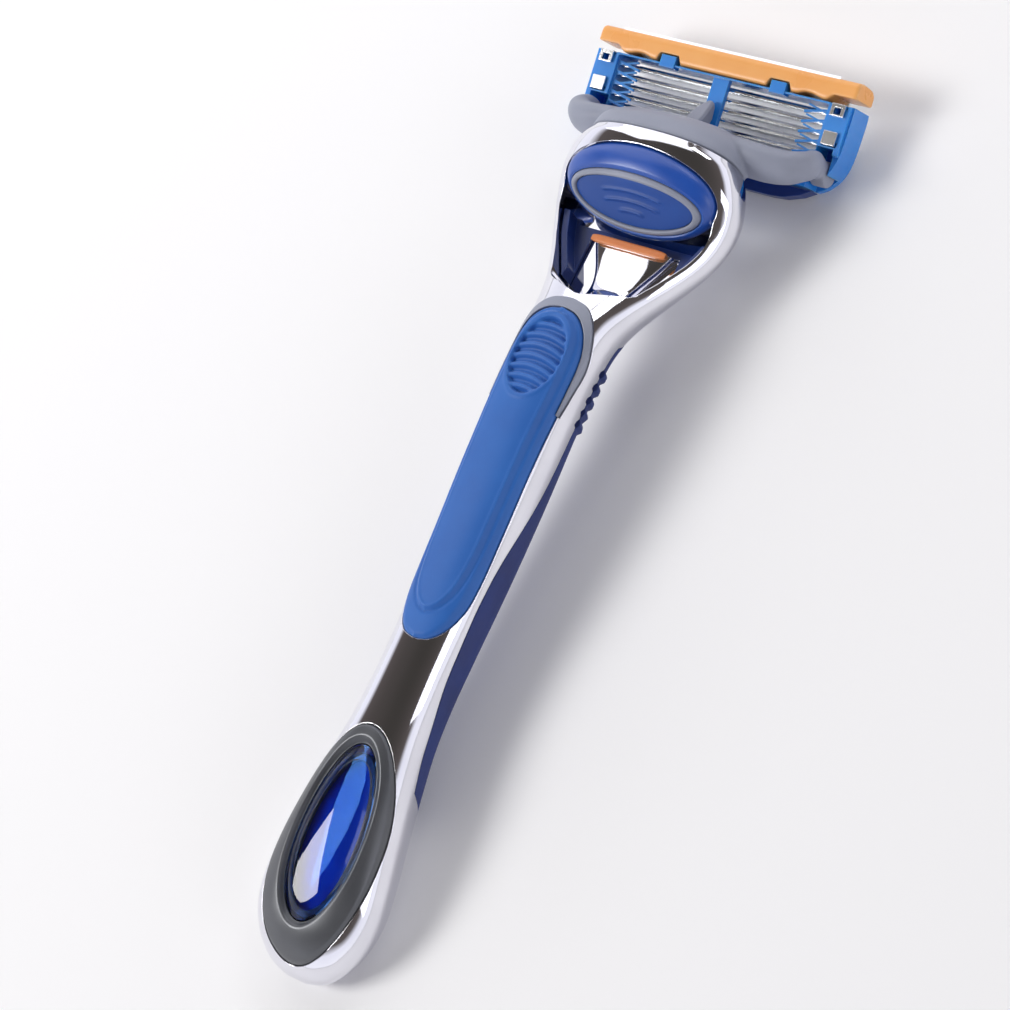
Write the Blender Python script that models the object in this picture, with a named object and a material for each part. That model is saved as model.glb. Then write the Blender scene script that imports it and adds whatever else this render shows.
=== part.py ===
"""Cartridge razor, built as an assembly of separate sub-parts.

The razor lies as it does on a shelf: blades down, button up, the tail at -Y and
the cartridge at +Y.  X is the shaving width and the razor is symmetric about X = 0.
All driving dimensions are millimetres and are turned into metres by one factor.
"""
import math

import bmesh
import bpy
from mathutils import Matrix, Vector

MM = 0.001

for old in list(bpy.data.objects):
    bpy.data.objects.remove(old, do_unlink=True)

# ---------------------------------------------------------------- driving dimensions
CARTRIDGE_WIDTH = 42.0
CARTRIDGE_TILT = 18.0            # back of the cartridge against the table, degrees
BACK_CENTRE = Vector((0.0, 61.2, 8.0))
GAP = 0.15                       # clearance between pieces that only touch

WINDOW_HALF_WIDTH = 17.0
WINDOW_LOW = -3.3
WINDOW_HIGH = 4.3
BLADE_COUNT = 5
BLADE_PITCH = 1.42
BLADE_LENGTH = 33.4
PIVOT_LOCAL = Vector((0.0, -4.9, -2.0))

BUTTON_CENTRE = Vector((0.0, 43.7, 14.6))
BUTTON_TILT = 50.0               # slope of the button's face, degrees
BUTTON_HALF_WIDTH = 12.0
BUTTON_HALF_HEIGHT = 6.6
BUTTON_DOME = 3.7
BUTTON_TRAVEL = 1.5

PLUNGER_SLOPE = -25.0            # direction the finger points, degrees
PLUNGER_TIP = Vector((0.0, 61.55, 8.35))

# Handle outline: station along Y against half width, top and underside heights.
HALF_WIDTH = (
    (-70.6, 1.6), (-70.0, 3.6), (-69.0, 5.2), (-67.0, 7.0), (-64.0, 8.5), (-60.0, 9.2),
    (-55.0, 8.8), (-48.0, 7.7), (-42.0, 6.7), (-36.0, 5.8), (-30.0, 5.5), (-24.0, 5.5),
    (-12.0, 5.8), (0.0, 6.1), (12.0, 6.2), (20.0, 6.4), (24.0, 7.0), (28.0, 8.3),
    (32.0, 10.2), (36.0, 12.2), (40.0, 13.7), (44.0, 14.3), (47.0, 13.7), (49.0, 12.8),
    (50.4, 11.9),
)
TOP = (
    (-70.6, 3.4), (-70.0, 4.9), (-69.0, 6.3), (-67.0, 8.2), (-64.0, 9.9), (-60.0, 11.2),
    (-54.0, 12.5), (-48.0, 13.4), (-42.0, 14.0), (-36.0, 14.2), (-30.0, 14.6), (-24.0, 15.1),
    (-12.0, 16.4), (0.0, 18.0), (10.0, 19.0), (18.0, 19.2), (22.0, 18.9), (26.0, 17.6),
    (30.0, 16.2), (34.0, 15.2), (38.0, 15.0), (42.0, 16.4), (46.0, 19.2), (49.0, 20.3),
    (50.4, 20.1),
)
UNDERSIDE = (
    (-70.6, 2.3), (-70.0, 1.3), (-69.0, 0.8), (-67.0, 0.3), (-64.0, 0.05), (-60.0, 0.0),
    (-54.0, 0.7), (-48.0, 1.7), (-42.0, 2.6), (-36.0, 3.3), (-30.0, 3.8), (-24.0, 4.1),
    (-12.0, 4.9), (0.0, 6.3), (10.0, 7.7), (18.0, 8.4), (24.0, 8.0), (30.0, 6.6),
    (36.0, 5.8), (42.0, 5.4), (48.0, 5.4), (52.0, 5.7),
)

# ---------------------------------------------------------------- collections
razor = bpy.data.collections.new("cartridge_razor")
cutters = bpy.data.collections.new("cutters")
bpy.context.scene.collection.children.link(razor)
bpy.context.scene.collection.children.link(cutters)


# ---------------------------------------------------------------- materials
def material(name, colour, roughness, metallic=0.0):
    """A plain Principled material with a colour, a roughness and a metallic value."""
    made = bpy.data.materials.new(name)
    made.use_nodes = True
    shader = made.node_tree.nodes["Principled BSDF"]
    shader.inputs["Base Color"].default_value = (*colour, 1.0)
    shader.inputs["Roughness"].default_value = roughness
    shader.inputs["Metallic"].default_value = metallic
    return made


CHROME = material("chrome", (0.78, 0.78, 0.82), 0.08, 1.0)
STEEL = material("blade_steel", (0.62, 0.63, 0.65), 0.25, 1.0)
SPRING_STEEL = material("spring_steel", (0.45, 0.45, 0.47), 0.35, 1.0)
ALUMINIUM = material("clip_aluminium", (0.80, 0.81, 0.83), 0.30, 1.0)
BLUE_RUBBER = material("blue_rubber", (0.02, 0.14, 0.52), 0.65)
NAVY_RUBBER = material("navy_rubber", (0.01, 0.03, 0.16), 0.70)
NAVY_PLASTIC = material("navy_plastic", (0.01, 0.04, 0.20), 0.45)
BLUE_PLASTIC = material("blue_plastic", (0.03, 0.30, 0.80), 0.30)
BUTTON_BLUE = material("button_blue", (0.02, 0.11, 0.50), 0.35)
BUTTON_NAVY = material("button_navy", (0.01, 0.05, 0.24), 0.50)
GREY_PLASTIC = material("grey_plastic", (0.30, 0.33, 0.42), 0.45)
BEZEL_GREY = material("satin_grey", (0.20, 0.21, 0.23), 0.40, 0.3)
ORANGE = material("orange_plastic", (0.90, 0.30, 0.10), 0.35)
WINDOW_BLUE = material("window_blue", (0.02, 0.12, 0.55), 0.06)
STRIP_WHITE = material("lubricating_polymer", (0.75, 0.85, 0.88), 0.55)


# ---------------------------------------------------------------- helpers
def interpolate(table, y):
    """Smooth value of a table at y, with a Catmull-Rom slope at every station."""
    if y <= table[0][0]:
        return table[0][1]
    if y >= table[-1][0]:
        return table[-1][1]
    index = max(i for i in range(len(table) - 1) if table[i][0] <= y)
    y0, v0 = table[index]
    y1, v1 = table[index + 1]
    before = table[max(index - 1, 0)]
    after = table[min(index + 2, len(table) - 1)]
    span = y1 - y0
    slope0 = (v1 - before[1]) / (y1 - before[0])
    slope1 = (after[1] - v0) / (after[0] - y0)
    t = (y - y0) / span
    return (
        (2 * t**3 - 3 * t**2 + 1) * v0 + (t**3 - 2 * t**2 + t) * span * slope0
        + (3 * t**2 - 2 * t**3) * v1 + (t**3 - t**2) * span * slope1
    )


def finish(name, mesh_data, surface, cutter=False, angle=35.0):
    """Recalculate the normals of a bmesh in millimetres and link it as an object."""
    bmesh.ops.remove_doubles(mesh_data, verts=mesh_data.verts, dist=1e-5)
    bmesh.ops.recalc_face_normals(mesh_data, faces=mesh_data.faces)
    bmesh.ops.scale(mesh_data, vec=(MM, MM, MM), verts=mesh_data.verts)
    mesh = bpy.data.meshes.new(name)
    mesh_data.to_mesh(mesh)
    mesh_data.free()
    made = bpy.data.objects.new(name, mesh)
    if cutter:
        made.hide_render = True
        made.display_type = "WIRE"
        cutters.objects.link(made)
    else:
        mesh.materials.append(surface)
        mesh.shade_smooth()
        mesh.set_sharp_from_angle(angle=math.radians(angle))
        razor.objects.link(made)
    return made


def add_loft(mesh_data, rings):
    """Skin equal-length closed rings one after another and cap both ends."""
    loops = [[mesh_data.verts.new(point) for point in ring] for ring in rings]
    count = len(rings[0])
    for near, far in zip(loops, loops[1:]):
        for i in range(count):
            j = (i + 1) % count
            mesh_data.faces.new((near[i], near[j], far[j], far[i]))
    mesh_data.faces.new(loops[0])
    mesh_data.faces.new(loops[-1])


def add_box(mesh_data, low, high, turn=None):
    """A box between two corners, optionally moved by a matrix."""
    centre = [(a + b) / 2 for a, b in zip(low, high)]
    size = [b - a for a, b in zip(low, high)]
    matrix = Matrix.Translation(centre) @ Matrix.Diagonal((*size, 1.0))
    if turn:
        matrix = turn @ matrix
    bmesh.ops.create_cube(mesh_data, size=1.0, matrix=matrix)


def add_rod(mesh_data, start, end, radius, segments=24, end_radius=None):
    """A round rod or cone from start to end."""
    start = Vector(start)
    end = Vector(end)
    along = end - start
    turn = along.to_track_quat("Z", "Y").to_matrix().to_4x4()
    bmesh.ops.create_cone(
        mesh_data, cap_ends=True, segments=segments, radius1=radius,
        radius2=radius if end_radius is None else end_radius, depth=along.length,
        matrix=Matrix.Translation((start + end) / 2) @ turn,
    )


def combine(target, other, operation):
    """Exact Boolean of one object with another."""
    step = target.modifiers.new(other.name, "BOOLEAN")
    step.operation = operation
    step.solver = "EXACT"
    step.object = other


def prism(name, outline, low, high):
    """Upright cutter with a plan outline given as (x, y) points."""
    mesh_data = bmesh.new()
    add_loft(mesh_data, [[(x, y, z) for x, y in outline] for z in (low, high)])
    return finish(name, mesh_data, None, cutter=True)


def side_prism(name, outline, half_width):
    """Cutter running across the razor with a side outline given as (y, z) points."""
    mesh_data = bmesh.new()
    add_loft(mesh_data, [[(x, y, z) for y, z in outline] for x in (-half_width, half_width)])
    return finish(name, mesh_data, None, cutter=True)


def oval(centre_y, half_width, tail_reach, head_reach, count=28, power=2.0):
    """Egg outline with its own reach towards the tail and towards the head."""
    points = []
    for i in range(count):
        angle = 2 * math.pi * i / count
        c = math.cos(angle)
        s = math.sin(angle)
        reach = head_reach if s > 0 else tail_reach
        x = half_width * math.copysign(abs(c) ** (2 / power), c)
        points.append((x, centre_y + reach * math.copysign(abs(s) ** (2 / power), s)))
    return points


def outline_from(table, scale=1.0, inset=0.0):
    """Closed symmetric plan outline from (y, half width) pairs, tail to head."""
    right = [(max(value * scale - inset, 0.02), y) for y, value in table]
    return right + [(-x, y) for x, y in reversed(right)]


def hull_ring(y, grow, count=28, power=2.35):
    """Cross-section of the handle at y, grown outwards by the given amount."""
    half = max(interpolate(HALF_WIDTH, y) + grow, 0.3)
    middle = (interpolate(TOP, y) + interpolate(UNDERSIDE, y)) / 2
    rise = max(interpolate(TOP, y) - middle + grow, 0.3)
    ring = []
    for i in range(count):
        angle = 2 * math.pi * i / count
        c = math.cos(angle)
        s = math.sin(angle)
        x = half * math.copysign(abs(c) ** (2 / power), c)
        z = middle + rise * math.copysign(abs(s) ** (2 / power), s)
        ring.append((x, y, z))
    return ring


def hull(name, stations, grow, surface=None, cutter=True):
    """Solid of the handle's outline; grow is an amount or a function of y."""
    amount = grow if callable(grow) else (lambda y: grow)
    mesh_data = bmesh.new()
    add_loft(mesh_data, [hull_ring(y, amount(y)) for y in stations])
    return finish(name, mesh_data, surface, cutter=cutter)


def bed(name, places, drop):
    """Solid of everything below the handle's upper surface, lowered by drop; drop is an
    amount or a function of y."""
    amount = drop if callable(drop) else (lambda y: drop)
    mesh_data = bmesh.new()
    rings = []
    for y in places:
        half = interpolate(HALF_WIDTH, y)
        middle = (interpolate(TOP, y) + interpolate(UNDERSIDE, y)) / 2
        rise = interpolate(TOP, y) - middle
        ring = [(-half - 1.0, y, -12.0), (half + 1.0, y, -12.0)]
        for i in range(19):
            x = (half + 1.0) * math.cos(math.pi * i / 18)
            inside = max(0.0, 1.0 - abs(x / half) ** 2.35)
            ring.append((x, y, middle + rise * inside ** (1 / 2.35) - amount(y)))
        rings.append(ring)
    add_loft(mesh_data, rings)
    return finish(name, mesh_data, None, cutter=True)


def stations(start, end, step):
    """Evenly spaced stations from start to end."""
    count = max(2, round((end - start) / step) + 1)
    return [start + (end - start) * i / (count - 1) for i in range(count)]


TAIL_STATIONS = [-70.6, -70.3, -69.6, -68.6, -67.2, -65.7]
HANDLE_STATIONS = TAIL_STATIONS + stations(-64.0, 22.0, 3.2) + stations(24.0, 50.4, 1.8)

# ---------------------------------------------------------------- chrome handle frame
frame = hull("handle_frame", HANDLE_STATIONS, 0.0, CHROME, cutter=False)

# Long pocket for the upper grip and its grey collar.
PAD_OUTLINE = (
    (-25.0, 0.4), (-24.6, 1.7), (-23.5, 2.9), (-21.5, 3.9), (-18.0, 4.6), (-8.0, 4.9),
    (4.0, 5.1), (12.0, 5.3), (17.0, 5.2), (20.0, 4.5), (21.8, 3.3), (22.8, 1.8), (23.1, 0.4),
)
COLLAR_OUTLINE = (
    (9.0, 5.42), (12.0, 5.6), (17.0, 5.75), (20.6, 5.2), (23.0, 4.1), (24.4, 2.5), (24.9, 0.5),
)
PAD_DEPTH = 1.5
pad_floor = bed("pad_floor", stations(-40.0, 40.0, 2.0), PAD_DEPTH)
pad_pocket = prism("pad_pocket", outline_from([(y, w + GAP) for y, w in PAD_OUTLINE]), 9.0, 24.0)
combine(pad_pocket, pad_floor, "DIFFERENCE")
collar_pocket = prism(
    "collar_pocket", outline_from([(y, w + GAP) for y, w in COLLAR_OUTLINE]), 12.5, 24.0)
collar_floor = bed("collar_floor", stations(-40.0, 40.0, 2.0), PAD_DEPTH)
combine(collar_pocket, collar_floor, "DIFFERENCE")
combine(frame, pad_pocket, "DIFFERENCE")
combine(frame, collar_pocket, "DIFFERENCE")

# Lower half given up to the underside grip, from behind the head to the tail.
GRIP_TAIL = -47.0
GRIP_HEAD = 26.0


def split_height(y):
    """Height of the chrome side band's lower edge."""
    low = interpolate(UNDERSIDE, y)
    top = interpolate(TOP, y)
    return low + 0.36 * (top - low)


def split_outline(lift):
    """Side outline of everything below the side band, pointed at both ends."""
    upper = [(y, split_height(y) + lift) for y in stations(GRIP_TAIL + 4, GRIP_HEAD - 4, 3.0)]
    tail_tip = (GRIP_TAIL - lift, interpolate(UNDERSIDE, GRIP_TAIL) - 1.5)
    head_tip = (GRIP_HEAD + lift, interpolate(UNDERSIDE, GRIP_HEAD) - 1.5)
    return [tail_tip] + upper + [head_tip, (GRIP_HEAD - 3, -4.0), (GRIP_TAIL + 3, -4.0)]


grip_space = side_prism("grip_space", split_outline(GAP), 20.0)
combine(frame, grip_space, "DIFFERENCE")

# Head opening: the frame forms two flaring rails and a collar round the button.
VALLEY = (
    (26.0, 0.4), (26.8, 2.8), (28.2, 6.3), (30.0, 7.5), (33.0, 9.1), (36.0, 10.7), (39.5, 12.0),
    (42.5, 12.1),
)
FLOOR = 8.7
valley = prism("head_valley", outline_from(VALLEY), FLOOR, 30.0)
combine(frame, valley, "DIFFERENCE")
CHAMBER = ((41.0, 10.9), (46.0, 11.2), (48.2, 9.9), (49.2, 7.5))
chamber = prism("ejector_chamber", outline_from(CHAMBER), FLOOR, 12.4)
combine(frame, chamber, "DIFFERENCE")

# Socket through the front of the frame for the connector's neck.
mesh_data = bmesh.new()
add_box(mesh_data, (-6.8, 46.5, 8.9), (6.8, 60.0, 14.9))
socket = finish("neck_socket", mesh_data, None, cutter=True)
combine(frame, socket, "DIFFERENCE")
mesh_data = bmesh.new()
add_box(mesh_data, (-3.9, 48.7, 12.0), (3.9, 60.0, 16.3))
upper_socket = finish("upper_socket", mesh_data, None, cutter=True)
combine(frame, upper_socket, "DIFFERENCE")

# Chrome tongue that rises out of the neck and carries the accent strip.
TONGUE = (
    (24.9, 2.5, 16.4), (27.0, 2.7, 13.2), (29.0, 2.9, 11.6), (31.0, 3.35, 10.8), (33.0, 4.15, 10.45),
    (35.0, 5.2, 10.4), (37.4, 6.4, 10.6),
)
mesh_data = bmesh.new()
rings = []
for y, half, top in TONGUE:
    bottom = FLOOR - 0.8
    rings.append([
        (-half, y, bottom), (half, y, bottom), (half, y, top - 0.5), (half - 0.5, y, top),
        (-half + 0.5, y, top), (-half, y, top - 0.5),
    ])
add_loft(mesh_data, rings)
tongue = finish("tongue_block", mesh_data, None, cutter=True)
combine(frame, tongue, "UNION")

# Pocket in the tail for the grey bezel.
BEZEL_Y = -56.0
BEZEL_HALF = 7.7
BEZEL_TAIL = 13.2
BEZEL_HEAD = 18.4
BEZEL_DEPTH = 4.2
bezel_space = prism(
    "bezel_space", oval(BEZEL_Y, BEZEL_HALF + GAP, BEZEL_TAIL + GAP, BEZEL_HEAD + GAP), 0.0, 24.0)
tail_floor = bed("tail_floor", TAIL_STATIONS + stations(-64.0, -30.0, 2.0), BEZEL_DEPTH)
combine(bezel_space, tail_floor, "DIFFERENCE")
combine(frame, bezel_space, "DIFFERENCE")

# ---------------------------------------------------------------- upper grip
pad = hull("upper_grip", stations(-27.0, 25.0, 2.6), 0.75, BLUE_RUBBER, cutter=False)
pad_shape = prism("pad_shape", outline_from(PAD_OUTLINE), 9.0, 24.0)
pad_under = bed("pad_under", stations(-40.0, 40.0, 2.0), PAD_DEPTH - GAP)
combine(pad_shape, pad_under, "DIFFERENCE")
combine(pad, pad_shape, "INTERSECT")

# Ribbed thumb rest sunk into the head end of the grip.
RIB_PITCH = 1.75


def rib_height(y):
    """Depth of the thumb rest's floor: a rounded rib every pitch."""
    return -0.25 - 0.30 * math.cos(2 * math.pi * (y - 16.0) / RIB_PITCH)


rest = prism("thumb_rest", oval(15.6, 3.7, 5.8, 5.8, count=36), 9.0, 30.0)
rest_floor = bed("thumb_rest_floor", stations(8.0, 23.0, RIB_PITCH / 4), rib_height)
combine(rest, rest_floor, "DIFFERENCE")
combine(pad, rest, "DIFFERENCE")

# ---------------------------------------------------------------- grey collar behind the grip
collar = hull("grip_collar", stations(8.0, 26.0, 1.5), 0.35, GREY_PLASTIC, cutter=False)
collar_shape = prism("collar_shape", outline_from(COLLAR_OUTLINE), 12.9, 24.0)
collar_under = bed("collar_under", stations(-40.0, 40.0, 2.0), PAD_DEPTH - GAP)
combine(collar_shape, collar_under, "DIFFERENCE")
combine(collar, collar_shape, "INTERSECT")
collar_inside = prism(
    "collar_inside", outline_from([(y, w + GAP) for y, w in PAD_OUTLINE]), 5.0, 30.0)
combine(collar, collar_inside, "DIFFERENCE")

# ---------------------------------------------------------------- underside grip
FIN_PITCH = 1.9


def fin_height(y):
    """Grow amount of the underside grip, with five cross fins behind the head."""
    inside = 8.6 < y < 18.4
    return 0.45 if inside and ((y - 8.7) % FIN_PITCH) > 0.95 else 0.0


fin_stations = stations(8.7, 18.2, FIN_PITCH / 4)
grip_stations = stations(-48.0, 8.0, 4.0) + fin_stations + stations(20.0, 27.0, 1.75)
grip = hull("underside_grip", grip_stations, fin_height, NAVY_RUBBER, cutter=False)
grip_shape = side_prism("grip_shape", split_outline(0.0), 20.0)
combine(grip, grip_shape, "INTERSECT")

# ---------------------------------------------------------------- tail bezel, plate, ring, window
WINDOW_Y = -53.5
bezel = hull(
    "tail_bezel", TAIL_STATIONS + stations(-64.0, -34.0, 2.0), 0.35, BEZEL_GREY, cutter=False)
bezel_shape = prism(
    "bezel_shape", oval(BEZEL_Y, BEZEL_HALF, BEZEL_TAIL, BEZEL_HEAD), 0.0, 24.0)
bezel_under = bed(
    "bezel_under", TAIL_STATIONS + stations(-64.0, -30.0, 2.0), BEZEL_DEPTH - GAP)
combine(bezel_shape, bezel_under, "DIFFERENCE")
combine(bezel, bezel_shape, "INTERSECT")
window_space = prism("window_space", oval(WINDOW_Y, 4.9, 10.6, 13.4), 0.0, 24.0)
window_floor = bed("window_floor", stations(-66.0, -36.0, 2.0), 3.6)
combine(window_space, window_floor, "DIFFERENCE")
combine(bezel, window_space, "DIFFERENCE")


def tail_layer(name, surface, half, tail, head, top, bottom):
    """A plate that follows the tail's surface between two depths below it."""
    outline = oval(WINDOW_Y, half, tail, head)
    mesh_data = bmesh.new()
    add_loft(mesh_data, [[(x, y, z) for x, y in outline] for z in (2.0, 24.0)])
    plate = finish(name, mesh_data, surface)
    combine(plate, bed(name + "_top", stations(-67.0, -36.0, 2.0), top), "INTERSECT")
    combine(plate, bed(name + "_under", stations(-67.5, -35.5, 2.0), bottom), "DIFFERENCE")
    return plate


tail_plate = tail_layer("tail_plate", NAVY_PLASTIC, 4.7, 10.4, 13.2, 2.7, 3.45)
tail_ring = tail_layer("tail_ring", ORANGE, 4.3, 9.6, 12.2, 1.6, 2.55)
ring_hole = prism("tail_ring_hole", oval(WINDOW_Y, 3.5, 8.6, 11.0), 0.0, 24.0)
combine(tail_ring, ring_hole, "DIFFERENCE")
tail_window = tail_layer("tail_window", WINDOW_BLUE, 4.7, 10.4, 13.2, -0.25, 1.45)

# ---------------------------------------------------------------- accent strip on the tongue
mesh_data = bmesh.new()
add_box(mesh_data, (-6.0, 36.2, 10.75), (6.0, 37.4, 11.5))
accent_strip = finish("accent_strip", mesh_data, ORANGE)

# ---------------------------------------------------------------- ejector button
button_turn = Matrix.Translation(BUTTON_CENTRE) @ Matrix.Rotation(
    math.radians(BUTTON_TILT), 4, "X")


def dome(name, surface, half_width, half_height, height, base, cutter=False):
    """Flattened ellipsoid cap standing on the button's sloping plane."""
    mesh_data = bmesh.new()
    bmesh.ops.create_uvsphere(mesh_data, u_segments=32, v_segments=16, radius=1.0)
    bmesh.ops.scale(mesh_data, vec=(half_width, half_height, height), verts=mesh_data.verts)
    geometry = mesh_data.verts[:] + mesh_data.edges[:] + mesh_data.faces[:]
    bmesh.ops.bisect_plane(
        mesh_data, geom=geometry, plane_co=(0, 0, base), plane_no=(0, 0, 1), clear_inner=True)
    edges = [edge for edge in mesh_data.edges if edge.is_boundary]
    bmesh.ops.edgeloop_fill(mesh_data, edges=edges)
    bmesh.ops.transform(mesh_data, matrix=button_turn, verts=mesh_data.verts)
    return finish(name, mesh_data, surface, cutter=cutter, angle=50.0)


def sloping_oval(name, half_width, half_height, low, high, offset=0.0):
    """Oval cutter standing square to the button's plane."""
    mesh_data = bmesh.new()
    points = oval(offset, half_width, half_height, half_height, count=32)
    add_loft(mesh_data, [[(x, y, z) for x, y in points] for z in (low, high)])
    bmesh.ops.transform(mesh_data, matrix=button_turn, verts=mesh_data.verts)
    return finish(name, mesh_data, None, cutter=True)


well = sloping_oval(
    "button_well", BUTTON_HALF_WIDTH + 0.3, BUTTON_HALF_HEIGHT + 0.3, -BUTTON_TRAVEL - 1.15, 20.0)
combine(frame, well, "DIFFERENCE")

button = dome(
    "button_cap", BUTTON_BLUE, BUTTON_HALF_WIDTH, BUTTON_HALF_HEIGHT, BUTTON_DOME, -0.9)
ring_space = sloping_oval("button_ring_space", 10.6, 4.55, 1.15, 8.0, -0.7)
combine(button, ring_space, "DIFFERENCE")

ring = dome("button_ring", GREY_PLASTIC, 11.9, 5.9, 3.45, 0.6)
ring_outer = sloping_oval("button_ring_outer", 10.45, 4.4, 1.3, 8.0, -0.7)
ring_inner = sloping_oval("button_ring_inner", 9.5, 3.5, 0.0, 9.0, -0.7)
combine(ring, ring_outer, "INTERSECT")
combine(ring, ring_inner, "DIFFERENCE")

thumb_pad = dome("button_pad", BUTTON_NAVY, 11.9, 5.9, 3.1, 0.6)
pad_outer = sloping_oval("button_pad_outer", 9.35, 3.35, 1.3, 8.0, -0.7)
combine(thumb_pad, pad_outer, "INTERSECT")

# Slider under the button that pushes the connector out of its socket.
mesh_data = bmesh.new()
add_box(mesh_data, (-9.0, 43.4, 9.95), (9.0, 44.6, 11.4))
slider = finish("ejector_slider", mesh_data, GREY_PLASTIC)


def coil(name, start, end, radius, wire, turns):
    """Compression spring wound from start to end, as a bevelled curve with caps."""
    start = Vector(start)
    end = Vector(end)
    axis = end - start
    turn = axis.to_track_quat("Z", "Y")
    data = bpy.data.curves.new(name, "CURVE")
    data.dimensions = "3D"
    data.bevel_depth = wire * MM
    data.bevel_resolution = 2
    data.use_fill_caps = True
    spline = data.splines.new("POLY")
    steps = turns * 8
    spline.points.add(steps)
    for i in range(steps + 1):
        angle = 2 * math.pi * turns * i / steps
        offset = Vector((radius * math.cos(angle), radius * math.sin(angle), 0.0))
        point = (start + axis * i / steps + turn @ offset) * MM
        spline.points[i].co = (*point, 1.0)
    made = bpy.data.objects.new(name, data)
    data.materials.append(SPRING_STEEL)
    razor.objects.link(made)
    return made


coil("button_spring", (7.9, 44.85, 10.7), (7.9, 48.2, 10.7), 0.7, 0.14, 5)

# ---------------------------------------------------------------- inner core of the head
CORE_FLOOR = 8.85
core_outline = [(y, w) for y, w in VALLEY if 29.0 < y < 40.5]
mesh_data = bmesh.new()
outer = outline_from(core_outline, inset=0.2)
add_loft(mesh_data, [[(x, y, z) for x, y in outer] for z in (CORE_FLOOR, 11.8)])
core = finish("head_core", mesh_data, NAVY_PLASTIC)
core_inside = prism("core_inside", outline_from(core_outline, inset=1.2), 9.35, 20.0)
combine(core, core_inside, "DIFFERENCE")
for word, half, low, high in (("tongue", 7.2, 20.0, 37.6), ("button", 9.9, 38.7, 60.0)):
    mesh_data = bmesh.new()
    add_box(mesh_data, (-half, low, 5.0), (half, high, 20.0))
    core_clear = finish("core_clear_" + word, mesh_data, None, cutter=True)
    combine(core, core_clear, "DIFFERENCE")

# ---------------------------------------------------------------- connector
tilt = math.radians(CARTRIDGE_TILT)
cartridge_turn = Matrix.Translation(BACK_CENTRE) @ Matrix.Rotation(tilt, 4, "X")
pivot = cartridge_turn @ PIVOT_LOCAL

HOOD = (
    (50.65, 11.9, 6.1, 20.0), (52.6, 11.6, 6.7, 19.3), (53.9, 10.9, 7.3, 18.2),
    (55.0, 9.7, 8.1, 16.7), (55.8, 8.2, 9.0, 15.0), (56.2, 6.8, 9.8, 13.6),
)
mesh_data = bmesh.new()
rings = []
for y, half, low, high in HOOD:
    ring_points = []
    for i in range(28):
        angle = 2 * math.pi * i / 28
        c = math.cos(angle)
        s = math.sin(angle)
        x = half * math.copysign(abs(c) ** 0.85, c)
        z = (high + low) / 2 + (high - low) / 2 * math.copysign(abs(s) ** 0.85, s)
        ring_points.append((x, y, z))
    rings.append(ring_points)
add_loft(mesh_data, rings)
connector = finish("connector", mesh_data, GREY_PLASTIC)

mesh_data = bmesh.new()
add_box(mesh_data, (-6.5, 47.4, 9.1), (6.5, 53.0, 14.7))
neck = finish("connector_neck", mesh_data, None, cutter=True)
combine(connector, neck, "UNION")
mesh_data = bmesh.new()
add_box(mesh_data, (-3.6, 49.0, 12.0), (3.6, 53.2, 16.0))
upper_neck = finish("connector_upper_neck", mesh_data, None, cutter=True)
combine(connector, upper_neck, "UNION")

# Each arm leaves the hood, curves forward and ends in an eye on the pivot axis.
ARM_X = 18.5
ARM = (
    (7.6, 53.6, 11.6, 1.9, 3.6), (10.8, 53.5, 11.4, 1.9, 3.4), (13.8, 53.3, 11.0, 1.95, 2.9),
    (16.6, 53.6, 10.3, 1.9, 2.4), (18.3, 54.9, 9.3, 1.6, 1.95), (18.5, 56.2, 7.9, 1.25, 1.75),
    (18.5, 56.9, 6.3, 1.1, 1.5), (18.5, 57.1, 4.9, 1.0, 1.2),
)


def arm_ring(index, side):
    """Oval section of the arm, square to its path."""
    x, y, z, half, height = ARM[index]
    before = Vector(ARM[max(index - 1, 0)][:3])
    after = Vector(ARM[min(index + 1, len(ARM) - 1)][:3])
    along = (after - before).normalized()
    across = along.cross(Vector((0.0, 0.0, 1.0))).normalized()
    upwards = across.cross(along)
    points = []
    for i in range(14):
        angle = 2 * math.pi * i / 14
        point = Vector((x, y, z)) + across * half * math.cos(angle)
        point += upwards * height * math.sin(angle)
        points.append((side * point.x, point.y, point.z))
    return points


for side, word in ((1, "right"), (-1, "left")):
    mesh_data = bmesh.new()
    add_loft(mesh_data, [arm_ring(i, side) for i in range(len(ARM))])
    arm = finish("connector_arm_" + word, mesh_data, None, cutter=True)
    combine(connector, arm, "UNION")
    mesh_data = bmesh.new()
    add_rod(mesh_data, (side * 17.35, pivot.y, pivot.z), (side * 19.65, pivot.y, pivot.z), 1.8)
    eye = finish("connector_eye_" + word, mesh_data, None, cutter=True)
    combine(connector, eye, "UNION")
    mesh_data = bmesh.new()
    add_rod(mesh_data, (side * 16.1, pivot.y, pivot.z), (side * 17.6, pivot.y, pivot.z), 0.85)
    pin = finish("connector_pin_" + word, mesh_data, None, cutter=True)
    combine(connector, pin, "UNION")

# Sloping bore for the plunger, open at the front of the hood.
plunger_turn = Matrix.Translation(PLUNGER_TIP) @ Matrix.Rotation(
    math.radians(PLUNGER_SLOPE), 4, "X")
mesh_data = bmesh.new()
add_box(mesh_data, (-1.45, -13.4, -1.35), (1.45, 0.0, 1.35), plunger_turn)
bore = finish("plunger_bore", mesh_data, None, cutter=True)
combine(connector, bore, "DIFFERENCE")

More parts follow.
